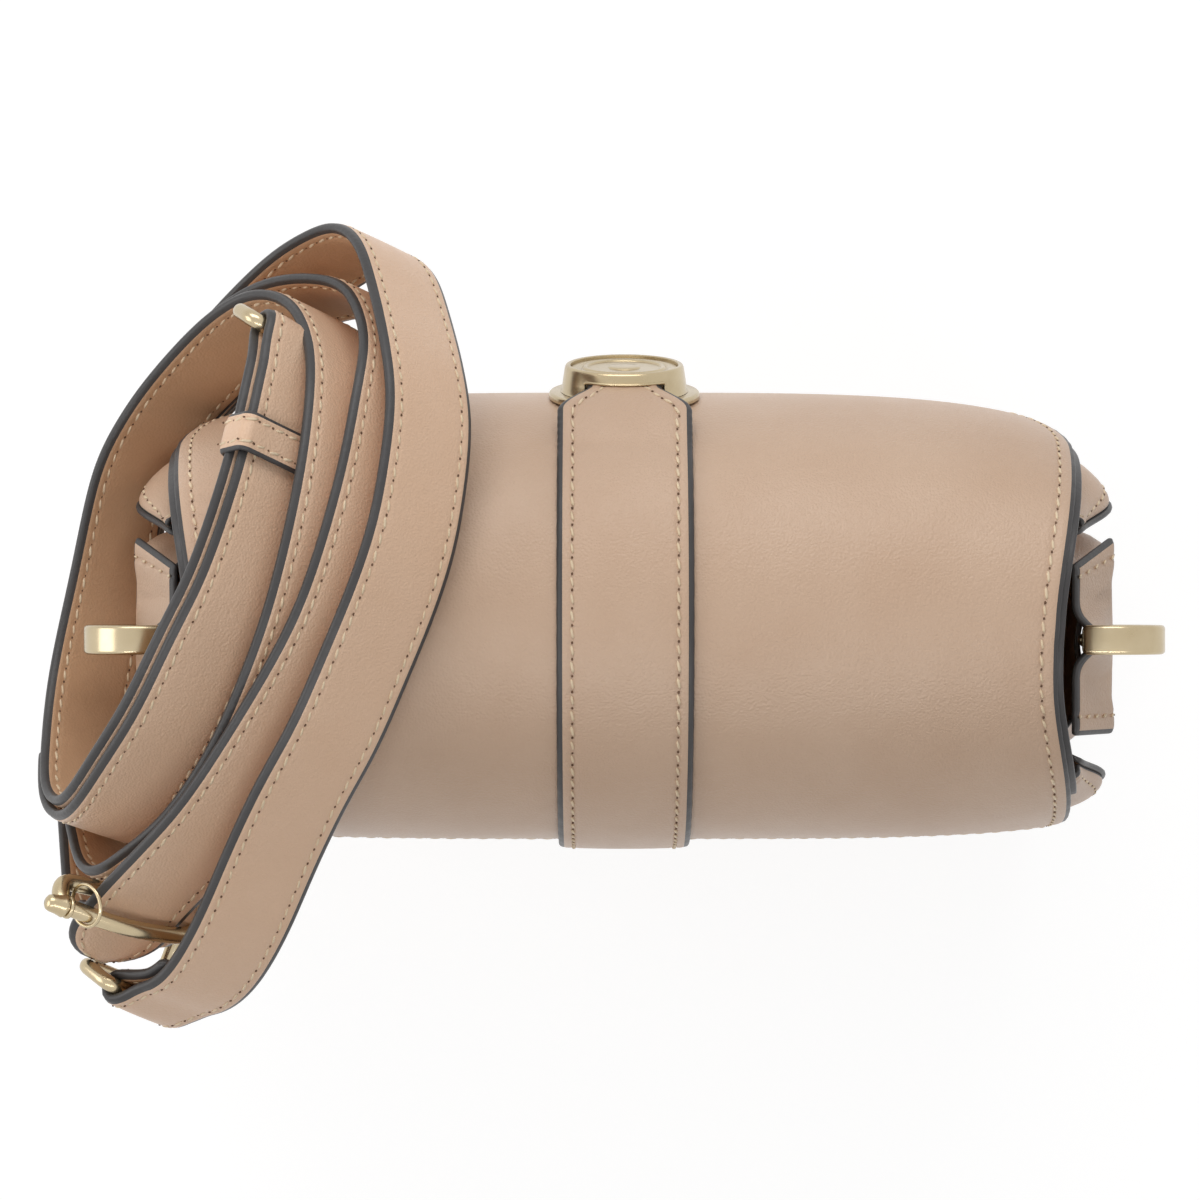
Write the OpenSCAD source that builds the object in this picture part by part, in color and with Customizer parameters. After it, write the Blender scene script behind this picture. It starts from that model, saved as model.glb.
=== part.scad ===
// Shoulder bag with a domed flap, a belt that runs over the flap into a round lock, two side
// rings, and a long detachable shoulder strap that is wound in loose loops over the left end.
// Millimetres. +Z is up, the front faces -Y, and the wearer's left end of the picture is +X.
// The origin is the middle of the base, on the surface that the bag stands on.

/* [Bag body] */
// Half the depth of the bag at its widest, outside the flap leather
depth_half = 58.6; // [56:0.2:61]
// Height of the widest level above the ground
bulge_z = 95; // [90:1:100]
// Rise of the domed top above the widest level
dome_h = 72; // [68:1:74]
// Half the width of the bag at its widest, over the side seams
side_half = 121; // [119:0.5:123]
// Thickness of the body leather
leather_t = 1.6; // [1.2:0.1:2]
// Thickness of the lining
lining_t = 1.2; // [0.8:0.1:1.6]
// Thickness of the base panel
base_t = 3; // [2:0.5:4]
// Height of the middle of the panels' top edge
mouth_z = 132; // [126:1:134]

/* [Flap and belt] */
// Half the width of the flap at its crest
flap_waist = 105.8; // [100:0.2:108]
// How much wider each side of the flap is where its surface stands upright
flap_flare = 8.5; // [6:0.5:9]
// Height of the flap's lowest point on the front
flap_tip_z = 52; // [45:1:60]
// Height of the flap's back edge
flap_back_z = 97; // [96:1:104]
// Thickness of the flap's outer leather
flap_t = 1.6; // [1.2:0.1:1.8]
// Thickness of the flap's lining
flap_lining_t = 1; // [0.8:0.1:1.2]
// Width of the belt
belt_w = 32; // [28:0.5:34]
// Thickness of the belt
belt_t = 2.2; // [1.8:0.1:2.4]
// Lowest point of the belt on the back
belt_back_z = 60; // [55:1:80]

/* [Lock] */
// Radius of the lock's flange
lock_flange_r = 19.4; // [18.5:0.1:20.5]
// Radius of the drum at its foot
lock_drum_r = 16.1; // [15.5:0.1:16.6]
// Radius of the drum at its face
lock_face_r = 15.2; // [14.5:0.1:15.5]
// Thickness of the flange
lock_flange_t = 2; // [1.6:0.1:2.4]
// Height of the drum's face above the leather
lock_h = 9; // [8.5:0.1:10]
// Width of the slot for the belt's tip
slot_w = 20.6; // [19.5:0.1:22]
// Radius of the magnets behind the lock
magnet_r = 8; // [6:0.5:9]

/* [Side rings] */
// Width of the flat ring band
ring_band = 7.5; // [6.5:0.1:8.5]
// Thickness of the ring band
ring_t = 3; // [2.6:0.1:3.2]
// Reach of the ring from the middle of its bar
ring_reach = 18.6; // [17:0.2:20]
// Height of the ring over its outside
ring_h = 28; // [27:0.5:30]
// Radius of the ring's straight bar
bar_r = 1.9; // [1.7:0.05:2]
// Height of the strip that holds the ring
tab_h = 20; // [18:0.5:20.5]
// Length of that strip from front to back
tab_l = 49; // [46:0.5:52]
// Lean of the bag's side from upright at the ring, in degrees
side_lean = 15; // [14:0.5:16]

/* [Shoulder strap] */
// Width of the strap
strap_w = 24; // [22:0.5:24.5]
// Thickness of the strap
strap_t = 3; // [2.4:0.1:3.2]
// Width of the sliding keeper along the strap
keeper_l = 9; // [7:0.5:10]
// Thickness of the keeper's leather
keeper_t = 1.6; // [1.2:0.1:1.7]
// Radius of the rod of the hooks' eyes
eye_r = 2; // [1.7:0.05:2.1]
// Radius of the brass slide bar across the strap
slide_r = 2.2; // [1.9:0.05:2.3]

/* [Hidden] */

leather = [0.79, 0.67, 0.56];
leather_dark = [0.66, 0.52, 0.41];
cloth = [0.55, 0.43, 0.33];
brass = [0.79, 0.74, 0.58];
steel = [0.6, 0.6, 0.58];

// Gap between pieces that lie on each other
seat = 0.1;
// Gap between pieces that pass each other
pass = 0.3;
// Running clearance of a pin in its hole, on the radius
run = 0.05;
// Overrun of a cut past the face that it opens
over = 1;
round_fn = 48;

// Exponents of the rounded outlines: the dome, the plan of the body, the flap and the lining
dome_p = 2.2;
plan_p = 3;
fall_p = 3.5;
lining_p = 3.4;
// Share of the half depth that is lost from the widest level down to the base
base_taper_share = 0.215;
// Lowest part of the side: how far it draws in at the base and at the top edge
side_in_base = 1.5;
side_in_top = 0.5;
side_widest_z = 77;
seam_top_z = 140;
// Where the side seams stand, in front of and behind the middle
seam_front_base = 36;
seam_front_top = 25;
seam_back_base = 43;
seam_back_top = 37;
// Depth of the flap's fall towards its sides, at the front and at the back
flap_fall_front = 27;
flap_fall_back = 10.5;
fall_half = 121;
// Gap between the flap's lining and the front panel
flap_gap = 3.2;
front_inset = flap_t + seat + flap_lining_t + flap_gap;
back_seat = 0.3;
back_inset = flap_t + back_seat;

// Height where the flap's front corners begin to round, and the radius of its back corners
corner_z = 132;
back_corner_r = 10;
// Angle of the hinge line on the dome, measured up from the widest level at the back
hinge_angle = 36;
hinge_gap_angle = 0.4;
dome_steps = 18;
front_steps = 9;
flap_cols = 16;
first_tip_angle = 28;
last_tip_angle = 87;

// Angle of the lock's middle on the dome, measured up from the widest level at the front
lock_angle = 17.8;

half_turn = 180;

function sgn(v) = v < 0 ? -1 : 1;
function spow(v, e) = sgn(v) * pow(abs(v), e);
function unit(v) = v / norm(v);
function mix(a, b, s) = a * (1 - s) + b * s;

// Half depth of the bag at a height, outside the flap leather
function half_depth(z) = z >= bulge_z
    ? depth_half * pow(max(0, 1 - pow((z - bulge_z) / dome_h, dome_p)), 1 / dome_p)
    : depth_half * (1 - base_taper_share * pow(1 - z / bulge_z, 2));

// Half width over the side seams at a height
function side_at(z) = z < side_widest_z
    ? side_half - side_in_base * pow((side_widest_z - z) / side_widest_z, 2)
    : side_half - side_in_top * pow((z - side_widest_z) / (seam_top_z - side_widest_z), 2);

function seam_front(z) = mix(seam_front_base, seam_front_top, z / seam_top_z);
function seam_back(z) = mix(seam_back_base, seam_back_top, pow(z / seam_top_z, 3));

// Points of the middle profile, from the back over the crest to the front, as [y, z]
function dome_point(a) = [-depth_half * spow(cos(a), 2 / dome_p),
                          bulge_z + dome_h * pow(abs(sin(a)), 2 / dome_p)];
function front_point(z) = [-half_depth(z), z];

// A closed solid between two grids of points, rows by columns
module sheet_solid(top, low) {
    rows = len(top);
    cols = len(top[0]);
    flat = rows * cols;
    pts = concat([for (r = top) for (p = r) p], [for (r = low) for (p = r) p]);
    quads = concat(
        [for (i = [0 : rows - 2]) for (j = [0 : cols - 2])
            [i * cols + j, i * cols + j + 1, (i + 1) * cols + j + 1, (i + 1) * cols + j]],
        [for (i = [0 : rows - 2]) for (j = [0 : cols - 2])
            [flat + i * cols + j, flat + (i + 1) * cols + j,
             flat + (i + 1) * cols + j + 1, flat + i * cols + j + 1]],
        [for (j = [0 : cols - 2]) [j, flat + j, flat + j + 1, j + 1]],
        [for (j = [0 : cols - 2])
            [(rows - 1) * cols + j + 1, flat + (rows - 1) * cols + j + 1,
             flat + (rows - 1) * cols + j, (rows - 1) * cols + j]],
        [for (i = [0 : rows - 2])
            [(i + 1) * cols, flat + (i + 1) * cols, flat + i * cols, i * cols]],
        [for (i = [0 : rows - 2])
            [i * cols + cols - 1, flat + i * cols + cols - 1,
             flat + (i + 1) * cols + cols - 1, (i + 1) * cols + cols - 1]]);
    polyhedron(pts, [for (q = quads) each [[q[0], q[1], q[2]], [q[0], q[2], q[3]]]]);
}

// A closed solid through a stack of rings with as many points each
module ring_solid(rings) {
    n = len(rings[0]);
    m = len(rings);
    sides = [for (i = [0 : m - 2]) for (j = [0 : n - 1])
        each [[i * n + j, (i + 1) * n + j, (i + 1) * n + (j + 1) % n],
              [i * n + j, (i + 1) * n + (j + 1) % n, i * n + (j + 1) % n]]];
    caps = [for (j = [1 : n - 2])
        each [[0, j, j + 1], [(m - 1) * n, (m - 1) * n + j + 1, (m - 1) * n + j]]];
    polyhedron([for (r = rings) each r], concat(sides, caps));
}

// Profile with outward normals: each row is [y, z, ny, nz]
function with_normals(p) = [for (i = [0 : len(p) - 1])
    let(t = unit(p[min(i + 1, len(p) - 1)] - p[max(i - 1, 0)])) [p[i][0], p[i][1], t[1], -t[0]]];

// How far the flap falls inwards at a distance x from the middle
function fall(x, ny) = let(rise = ny < 0 ? flap_fall_front : flap_fall_back)
    rise * (1 - pow(1 - pow(min(abs(x) / fall_half, 1), fall_p), 1 / fall_p));

// A point of the flap's outer surface, raised by h along the outward normal
function flap_point(row, x, h) = [x, row[0] - row[2] * fall(x, row[2]) + h * row[2],
                                  row[1] + h * row[3]];

// Half width of the flap on a row of its profile
function flap_half(row) = let(w = flap_waist + flap_flare * abs(row[2]),
                              q = (corner_z - row[1]) / (corner_z - flap_tip_z),
                              d = row[1] - flap_back_z)
    row[2] < 0 && q > 0 ? w * sqrt(max(0, 1 - q * q))
    : row[2] > 0 && d < back_corner_r
      ? w - back_corner_r + sqrt(max(0, pow(back_corner_r, 2) - pow(back_corner_r - d, 2)))
    : w;

moving_profile = with_normals(concat(
    [for (i = [0 : dome_steps])
        dome_point(mix(half_turn - hinge_angle - hinge_gap_angle, 0, i / dome_steps))],
    [for (i = [1 : front_steps])
        front_point(corner_z - (corner_z - flap_tip_z)
                    * sin(mix(first_tip_angle, last_tip_angle, i / front_steps)))]));

root_steps = 8;
root_profile = with_normals([for (i = [0 : root_steps])
    let(z = mix(flap_back_z, dome_point(half_turn - hinge_angle)[1], pow(i / root_steps, 1.5)))
    [half_depth(z), z]]);

module flap_sheet(profile, h_top, h_low) {
    sheet_solid([for (r = profile) [for (j = [0 : flap_cols])
                    flap_point(r, (2 * j / flap_cols - 1) * flap_half(r), h_top)]],
                [for (r = profile) [for (j = [0 : flap_cols])
                    flap_point(r, (2 * j / flap_cols - 1) * flap_half(r), h_low)]]);
}

// Body panels

panel_rows = 8;
panel_cols = 22;
seam_lift = seam_top_z - mouth_z;

function panel_point(front, a, v, t) = let(
    c = cos(a), s = sin(a),
    z_top = mouth_z + seam_lift * pow(abs(c), 4),
    z = mix(base_t + seat, z_top, v),
    wide = side_at(z) - t,
    seam = front ? seam_front(z) : seam_back(z),
    deep = half_depth(z) - (front ? front_inset : back_inset) - t,
    y = seam + (deep - seam) * pow(abs(s), 2 / plan_p))
    [-wide * spow(c, 2 / plan_p), front ? -y : y, z];

module panel(front) {
    grid = function (t) [for (i = [0 : panel_rows]) [for (j = [0 : panel_cols])
        panel_point(front, half_turn * j / panel_cols, i / panel_rows, t)]];
    top = grid(0);
    low = grid(leather_t);
    if (front) sheet_solid(low, top); else sheet_solid(top, low);
}

// Gussets: the plan runs from the front seam edge through two valleys to the back seam edge

valley = 10.5;
middle_in = 5.5;
gusset_rows = 6;
gusset_cols = 8;
// Where along the gusset its two flanks turn, as a share of the way between the seams
flank_share = 0.28;
flank_in_share = 0.7;
gusset_dip = 14;

// t moves a point from the middle of the leather to one of its faces
function gusset_plan(z, t) = let(w = side_at(z), f = -seam_front(z), b = seam_back(z),
                                 h = seat + leather_t / 2, len_y = b - f,
                                 flank = w - mix(valley, middle_in, flank_in_share) - t)
    [[w - seat, f + h - t],
     [w - valley / 2, f + h + valley / 8 - t],
     [w - valley - t * 0.8, f + valley / 2 - t * 0.6],
     [flank, f + len_y * flank_share],
     [w - middle_in - t, (f + b) / 2],
     [flank, b - len_y * flank_share],
     [w - valley - t * 0.8, b - valley / 2 + t * 0.6],
     [w - valley / 2, b - h - valley / 8 + t],
     [w - seat, b - h + t]];

function gusset_top(j) = seam_top_z - gusset_dip * sin(half_turn * j / gusset_cols);

module gusset(side) {
    grid = function (t) [for (i = [0 : gusset_rows]) [for (j = [0 : gusset_cols])
        let(z = mix(base_t + seat, gusset_top(j), i / gusset_rows), p = gusset_plan(z, t)[j])
        [side * p[0], p[1], z]]];
    outer = grid(-leather_t / 2);
    inner = grid(leather_t / 2);
    if (side > 0) sheet_solid(inner, outer); else sheet_solid(outer, inner);
}

// Base

base_in = 1;
base_cols = 24;

module base_panel() {
    w = side_at(0) - base_in;
    arc = function (front) [for (j = [0 : base_cols])
        let(a = half_turn * (front ? j : base_cols - j) / base_cols,
            seam = front ? seam_front(0) : seam_back(0),
            deep = half_depth(0) - (front ? front_inset : back_inset) - base_in,
            y = seam + (deep - seam) * pow(abs(sin(a)), 2 / plan_p))
        [-w * spow(cos(a), 2 / plan_p), front ? -y : y]];
    color(leather) linear_extrude(base_t) polygon(concat(arc(true), arc(false)));
}

module front_panel() color(leather) panel(true);

module back_panel() color(leather) panel(false);

module gusset_left() color(leather) gusset(1);

module gusset_right() color(leather) gusset(-1);

// Lining: an open cup that stands on the base panel

lining_cols = 40;
lining_rows = 10;
lining_below_mouth = 5;
lining_top = mouth_z - lining_below_mouth;
lining_gap = 0.7;
lining_side_in = valley + leather_t + 2 * lining_gap;

function lining_ring(z, t) = [for (j = [0 : lining_cols - 1])
    let(a = 360 * j / lining_cols,
        w = side_at(z) - lining_side_in - t,
        d = half_depth(z) - (sin(a) < 0 ? front_inset : back_inset) - leather_t - lining_gap - t)
    [w * spow(cos(a), 2 / lining_p), d * spow(sin(a), 2 / lining_p), z]];

module lining() {
    z0 = base_t + seat;
    zs = [for (i = [0 : lining_rows]) mix(z0, lining_top, i / lining_rows)];
    color(cloth) ring_solid(concat(
        [for (z = zs) lining_ring(z, 0)],
        [for (i = [lining_rows : -1 : 1]) lining_ring(zs[i], lining_t)],
        [lining_ring(z0 + lining_t, lining_t)]));
}

// Slip pocket on the back wall of the lining

pocket_half = 55;
pocket_low = 40;
pocket_high = 100;
pocket_cols = 8;
pocket_rows = 5;

module inner_pocket() {
    grid = function (t) [for (i = [0 : pocket_rows]) [for (j = [0 : pocket_cols])
        let(z = mix(pocket_low, pocket_high, i / pocket_rows),
            x = pocket_half * (2 * j / pocket_cols - 1),
            w = side_at(z) - lining_side_in - lining_t,
            d = half_depth(z) - back_inset - leather_t - lining_gap - lining_t)
        [x, d * pow(1 - pow(abs(x) / w, lining_p), 1 / lining_p) - pass - t, z]]];
    color(cloth) sheet_solid(grid(0), grid(lining_t));
}

// Flap

module flap_outer() color(leather) flap_sheet(moving_profile, 0, -flap_t);

module flap_lining() color(leather_dark)
    flap_sheet(moving_profile, -flap_t - seat, -flap_t - seat - flap_lining_t);

module flap_root() color(leather) flap_sheet(root_profile, 0, -flap_t);

// Belt over the flap; its front end narrows and climbs into the lock's slot

belt_steps = 22;
belt_end_angle = 35;
belt_climb_angle = 52;
belt_end_half = 8.4;
belt_climb = 4.2;
belt_cols = 4;

function belt_share(a) = a > belt_climb_angle ? 0
    : (belt_climb_angle - a) / (belt_climb_angle - belt_end_angle);

module belt() {
    angles = [for (i = [0 : belt_steps])
        mix(half_turn - hinge_angle - hinge_gap_angle, belt_end_angle, i / belt_steps)];
    rows = with_normals([for (a = angles) dome_point(a)]);
    grid = function (h) [for (i = [0 : belt_steps]) let(s = belt_share(angles[i]))
        [for (j = [0 : belt_cols])
            flap_point(rows[i], (2 * j / belt_cols - 1) * mix(belt_w / 2, belt_end_half, s * s * s),
                       h + seat + belt_climb * s * s)]];
    color(leather) sheet_solid(grid(belt_t), grid(0));
}

tail_rows = 6;

module belt_tail() {
    top_z = dome_point(half_turn - hinge_angle)[1];
    bend_z = flap_back_z - pass;
    zs = concat([for (i = [0 : tail_rows]) mix(belt_back_z, bend_z - 2 * back_inset, i / tail_rows)],
                [for (i = [0 : tail_rows]) mix(bend_z, top_z, i / tail_rows)]);
    rows = with_normals([for (z = zs) [half_depth(z), z]]);
    grid = function (h) [for (i = [0 : len(zs) - 1]) [for (j = [0 : belt_cols])
        flap_point(rows[i], (2 * j / belt_cols - 1) * belt_w / 2,
                   h + seat - (zs[i] < bend_z ? back_inset : 0))]];
    color(leather) sheet_solid(grid(belt_t), grid(0));
}

// Lock, built on its own axis and then set on the front of the dome

lock_rim = 1.4;
lock_face_t = 1.6;
slot_h = 3;
slot_z = 4.6;
slot_depth = 6;
rivet_head_r = 1.6;
rivet_ring = 13;
function dome_normal(a) = let(p = dome_point(a),
                              gy = spow(p[0] / depth_half, dome_p - 1) / depth_half,
                              gz = pow((p[1] - bulge_z) / dome_h, dome_p - 1) / dome_h)
    unit([gy, gz]);

// How far the curved lining falls away under the flat back of the lock
lock_span = 10;
lock_sag = max([for (a = [lock_angle - lock_span, lock_angle + lock_span])
    (dome_point(lock_angle) - dome_point(a)) * dome_normal(lock_angle)]);
stud_seat = flap_t + flap_lining_t + 2 * seat + lock_sag;

module on_lock() {
    p = dome_point(lock_angle);
    n = dome_normal(lock_angle);
    translate([0, p[0], p[1]]) rotate([atan2(-n[0], n[1]), 0, 0]) children();
}

module lock_flange() color(brass) on_lock() rotate_extrude($fn = round_fn * 2)
    polygon([[lock_drum_r * 0.5, seat], [lock_flange_r, seat],
             [lock_flange_r, lock_flange_t * 0.6], [lock_flange_r * 0.98, lock_flange_t * 0.9],
             [lock_flange_r * 0.96, lock_flange_t], [lock_drum_r * 0.5, lock_flange_t]]);

module lock_drum() color(brass) on_lock() difference() {
    rotate_extrude($fn = round_fn * 2)
        polygon([[0, lock_flange_t + seat], [lock_drum_r, lock_flange_t + seat],
                 [lock_face_r, lock_h - lock_rim / 2], [lock_face_r - lock_rim / 2, lock_h],
                 [lock_face_r - lock_rim, lock_h],
                 [lock_face_r - lock_rim, lock_h - lock_face_t], [0, lock_h - lock_face_t]]);
    translate([-slot_w / 2, lock_drum_r - slot_depth, slot_z - slot_h / 2])
        cube([slot_w, slot_depth + over, slot_h]);
}

// The face carries plain concentric rings
module lock_face() {
    r = lock_face_r - lock_rim - seat;
    low = lock_h - lock_face_t + seat;
    color(brass) on_lock() rotate_extrude($fn = round_fn * 2)
        polygon([[0, low], [r, low], [r, low + 0.6 * lock_face_t], [r * 0.82, low + 0.6 * lock_face_t],
                 [r * 0.78, low + 0.8 * lock_face_t], [r * 0.7, low + 0.8 * lock_face_t],
                 [r * 0.66, low + 0.55 * lock_face_t], [r * 0.3, low + 0.55 * lock_face_t],
                 [r * 0.26, low + 0.75 * lock_face_t], [0, low + 0.75 * lock_face_t]]);
}

// Four rivet heads that hold the flange against the leather from inside
rivet_head_t = 1;

module lock_rivets() color(steel) on_lock() for (a = [45 : 90 : 315]) rotate(a)
    translate([rivet_ring, 0, -stud_seat - rivet_head_t])
        cylinder(r = rivet_head_r, h = rivet_head_t, $fn = round_fn / 2);

magnet_t = 1;

module magnet_stud() color(steel) on_lock()
    translate([0, 0, -stud_seat - magnet_t]) cylinder(r = magnet_r, h = magnet_t, $fn = round_fn);

module magnet_socket() color(steel) on_lock()
    translate([0, 0, -front_inset + seat])
        cylinder(r = magnet_r, h = front_inset - seat - stud_seat - magnet_t - pass,
                 $fn = round_fn);

// Side rings and the strips that hold them

ring_y = 6;
ring_z = 128;
// The ring's bar lies a little inside the widest part of the side
bar_in = 1.6;
bar_x = side_half - bar_in;
tab_t = 2;
tab_mid_y = -1;
hump_r = bar_r + run + tab_t;
tab_back = 3.7;

module on_side(side) mirror([side < 0 ? 1 : 0, 0, 0])
    translate([bar_x, ring_y, ring_z]) rotate([0, -side_lean, 0]) children();

module ring_outline(inset) {
    r = ring_h / 2 - inset;
    hull() {
        translate([0, -r]) square([over, 2 * r]);
        translate([ring_reach - ring_h / 2, 0]) circle(r = r, $fn = round_fn * 2);
    }
}

module ring_shape(side) on_side(side) union() {
    rotate([90, 0, 0]) linear_extrude(ring_band, center = true) difference() {
        ring_outline(0);
        ring_outline(ring_t);
        translate([-ring_h, -ring_h]) square([ring_h, 2 * ring_h]);
    }
    cylinder(r = bar_r, h = ring_h - ring_t, center = true, $fn = round_fn);
}

module ring_left() color(brass) ring_shape(1);

module ring_right() color(brass) ring_shape(-1);

// The strip is stitched flat at both ends and rises over the bar in the middle
module tab_shape(side) on_side(side) difference() {
    translate([0, 0, -tab_h / 2]) linear_extrude(tab_h) union() {
        translate([-tab_back, tab_mid_y - tab_l / 2]) square([tab_t, tab_l]);
        intersection() {
            hull() {
                circle(r = hump_r, $fn = round_fn);
                translate([-tab_back, -1.8 * hump_r]) square([tab_t, 3.6 * hump_r]);
            }
            translate([-tab_back, -2 * hump_r]) square([2 * hump_r + tab_back, 4 * hump_r]);
        }
    }
    cylinder(r = bar_r + run, h = tab_h + 2 * over, center = true, $fn = round_fn);
}

module tab_left() color(leather) tab_shape(1);

module tab_right() color(leather) tab_shape(-1);

// Shoulder strap. Its route is chosen by hand, one point for each bend of the loose loops, at
// the middle of the strap's section. The strap stands across the axis of the winding.

winding_axis_shares = [-0.754, 0.322, -0.573];
winding_axis = unit(winding_axis_shares);
// The loops lie round the bag, so their depth follows the body's depth
route_depth_half = 58.6;
route_grow = depth_half / route_depth_half;
// Round the front corner of the bag the strap stands more upright
corner_spot = [122, -34 * route_grow];
corner_reach = 22;
corner_twist_share = 0.35;
strap_per = 3;
tail_gap = 0.4;
tail_slip = 1.5;
tail_end_point = 10;

long_route = [
    [82, -64, 157], [84, -52, 165], [88, -33, 172], [96, -8, 176], [103, 6, 175], [112, 24, 170],
    [120, 36, 163], [127, 46, 153], [132, 50, 143], [137, 48, 132], [139, 38, 120], [139, 20, 107],
    [135, -6, 99], [130, -35, 98], [122, -49, 101], [112, -60, 107], [97, -73, 119], [86, -78, 127],
    [76, -75, 139], [70, -66, 153], [68, -54, 164], [70, -31, 173], [76, -3, 176], [83, 17, 173],
    [92, 36, 167], [104, 53, 160], [116, 63, 151], [123, 68, 144], [128, 67, 135], [132, 59, 122],
    [137, 44, 108], [138, 22, 97], [135, -5, 91], [130.5, -34, 90], [122.5, -48, 93],
    [112, -60, 97], [98, -74, 106], [85, -81, 115], [72, -82, 128], [62, -79, 141],
    [57, -71, 152], [55, -62, 161], [56, -54, 167],
    [60, -31, 175], [67, -6, 179], [74, 10, 178], [86, 30, 174], [99, 49, 168], [111, 62, 161],
    [120, 71, 154], [127, 79, 147], [132, 86, 141]];

short_route = [
    [119.1, 73.4, 145], [123, 78, 141], [128, 81, 135], [132, 77, 127], [134, 69, 119], [136, 58, 110],
    [138, 44, 101], [139, 22, 90], [135, -5, 84], [131, -34, 83], [123, -48, 86],
    [112, -60, 90], [100, -73, 97], [88, -84, 106], [80, -90, 112], [71, -94, 121],
    [64, -95, 130], [58, -90, 141], [54, -79, 152],
    [50, -64, 165], [48, -48, 173], [51, -23, 180], [56, -6, 182], [63, 11, 181], [71, 29, 178],
    [79, 43, 174], [87, 59, 167], [95.5, 77.5, 159], [104, 91, 150.5], [111.5, 96.5, 144], [119, 97, 138.5]];

function spline_point(p, i, t) = let(
    n = len(p),
    a = i == 0 ? 2 * p[0] - p[1] : p[i - 1],
    b = p[i],
    c = p[i + 1],
    d = i + 2 > n - 1 ? 2 * p[n - 1] - p[n - 2] : p[i + 2])
    0.5 * (2 * b + (c - a) * t + (2 * a - 5 * b + 4 * c - d) * t * t
           + (3 * b - a - 3 * c + d) * t * t * t);

function spline(p, per) = concat([for (i = [0 : len(p) - 2]) for (k = [0 : per - 1])
                                      spline_point(p, i, k / per)], [p[len(p) - 1]]);

function along(path, i) = unit(path[min(i + 1, len(path) - 1)] - path[max(i - 1, 0)]);
function twist_share(p) = corner_twist_share
    * exp(-pow(norm([p[0] - corner_spot[0], p[1] - corner_spot[1]]) / corner_reach, 2));
function axis_at(p) = unit(mix(winding_axis, [0, 0, -1], twist_share(p)));
function across(path, i) = let(t = along(path, i), w = axis_at(path[i]))
    unit(w - t * (t * w));
function outwards(path, i) = cross(along(path, i), across(path, i));

function fitted(route) = [for (p = route) [p[0], p[1] * route_grow, p[2]]];

long_path = spline(fitted(long_route), strap_per);
short_path = spline(fitted(short_route), strap_per);

// A flat band along part of a path, moved outwards by lift and along the axis by slip
module band(path, first, last, width, t, lift, slip) {
    corners = [for (i = [first : last])
        let(a = across(path, i), n = outwards(path, i),
            c = path[i] + lift * n + slip * a)
        [c - a * width / 2 - n * t / 2, c + a * width / 2 - n * t / 2,
         c + a * width / 2 + n * t / 2, c - a * width / 2 + n * t / 2]];
    ring_solid(corners);
}

module strap_long() color(leather)
    band(long_path, 0, len(long_path) - 1, strap_w, strap_t, 0, 0);

module strap_short() color(leather)
    band(short_path, 0, len(short_path) - 1, strap_w, strap_t, 0, 0);

module strap_tail() color(leather)
    band(long_path, 0, tail_end_point * strap_per, strap_w, strap_t, strap_t + tail_gap, tail_slip);

// Least gap between turns, measured on points of the two faces and printed
gap_step = 3;
gap_skip = 12;
function turn_distance(p, q, skip) = min([for (i = [0 : gap_step : len(p) - 1])
    for (j = [0 : gap_step : len(q) - 1]) if (skip == 0 || abs(i - j) > skip)
        for (u = [-0.5, 0, 0.5]) for (v = [-0.5, 0, 0.5])
            norm(p[i] + across(p, i) * u * strap_w - q[j] - across(q, j) * v * strap_w)]);
echo(least_gap_long = turn_distance(long_path, long_path, gap_skip) - strap_t);
echo(least_gap_short = turn_distance(short_path, short_path, gap_skip) - strap_t);

// Places a piece on a strap: x along its width, y along it, z outwards
module on_strap(path, i, lift = 0, slip = 0) {
    a = across(path, i);
    n = outwards(path, i);
    t = along(path, i);
    c = path[i] + lift * n + slip * a;
    multmatrix([[a[0], t[0], n[0], c[0]], [a[1], t[1], n[1], c[1]], [a[2], t[2], n[2], c[2]],
                [0, 0, 0, 1]]) children();
}

// Keeper round both layers
keeper_point = 5;
keeper_gap = 0.45;
pair_t = 2 * strap_t + tail_gap;

module keeper() {
    w = strap_w + tail_slip + 2 * keeper_gap;
    h = pair_t + 2 * keeper_gap;
    color(leather) on_strap(long_path, keeper_point, (strap_t + tail_gap) / 2, tail_slip / 2)
        difference() {
            cube([w + 2 * keeper_t, keeper_l, h + 2 * keeper_t], center = true);
            cube([w, keeper_l + 2 * over, h], center = true);
        }
}

// Screw studs: their heads lie on the strap's inner face
stud_r = 3;
stud_t = 0.8;
stud_gap = 0.25;
stud_points = [14, 26];

module strap_studs() color(brass) for (i = stud_points)
    on_strap(long_path, i, -strap_t / 2 - stud_gap - stud_t)
        cylinder(r = stud_r, h = stud_t, $fn = round_fn / 2);

// Slide bar: a brass loop round the place where the two straps overlap

slide_back = 5;
slide_point = len(long_path) - 1 - slide_back;
slide_low = -21.5;
slide_high = 15.2;
slide_foot_more = 5;
slide_off = strap_t / 2 + slide_r + pass;

module rod(a, b, r) {
    d = b - a;
    translate(a) rotate([0, acos(d[2] / norm(d)), atan2(d[1], d[0])])
        cylinder(r = r, h = norm(d), $fn = round_fn / 2);
}

knuckle_share = 1.12;

module rod_run(pts, r) {
    for (i = [0 : len(pts) - 2]) rod(pts[i], pts[i + 1], r);
    for (i = [1 : len(pts) - 2]) translate(pts[i]) sphere(r = knuckle_share * r, $fn = round_fn / 2);
}

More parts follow.
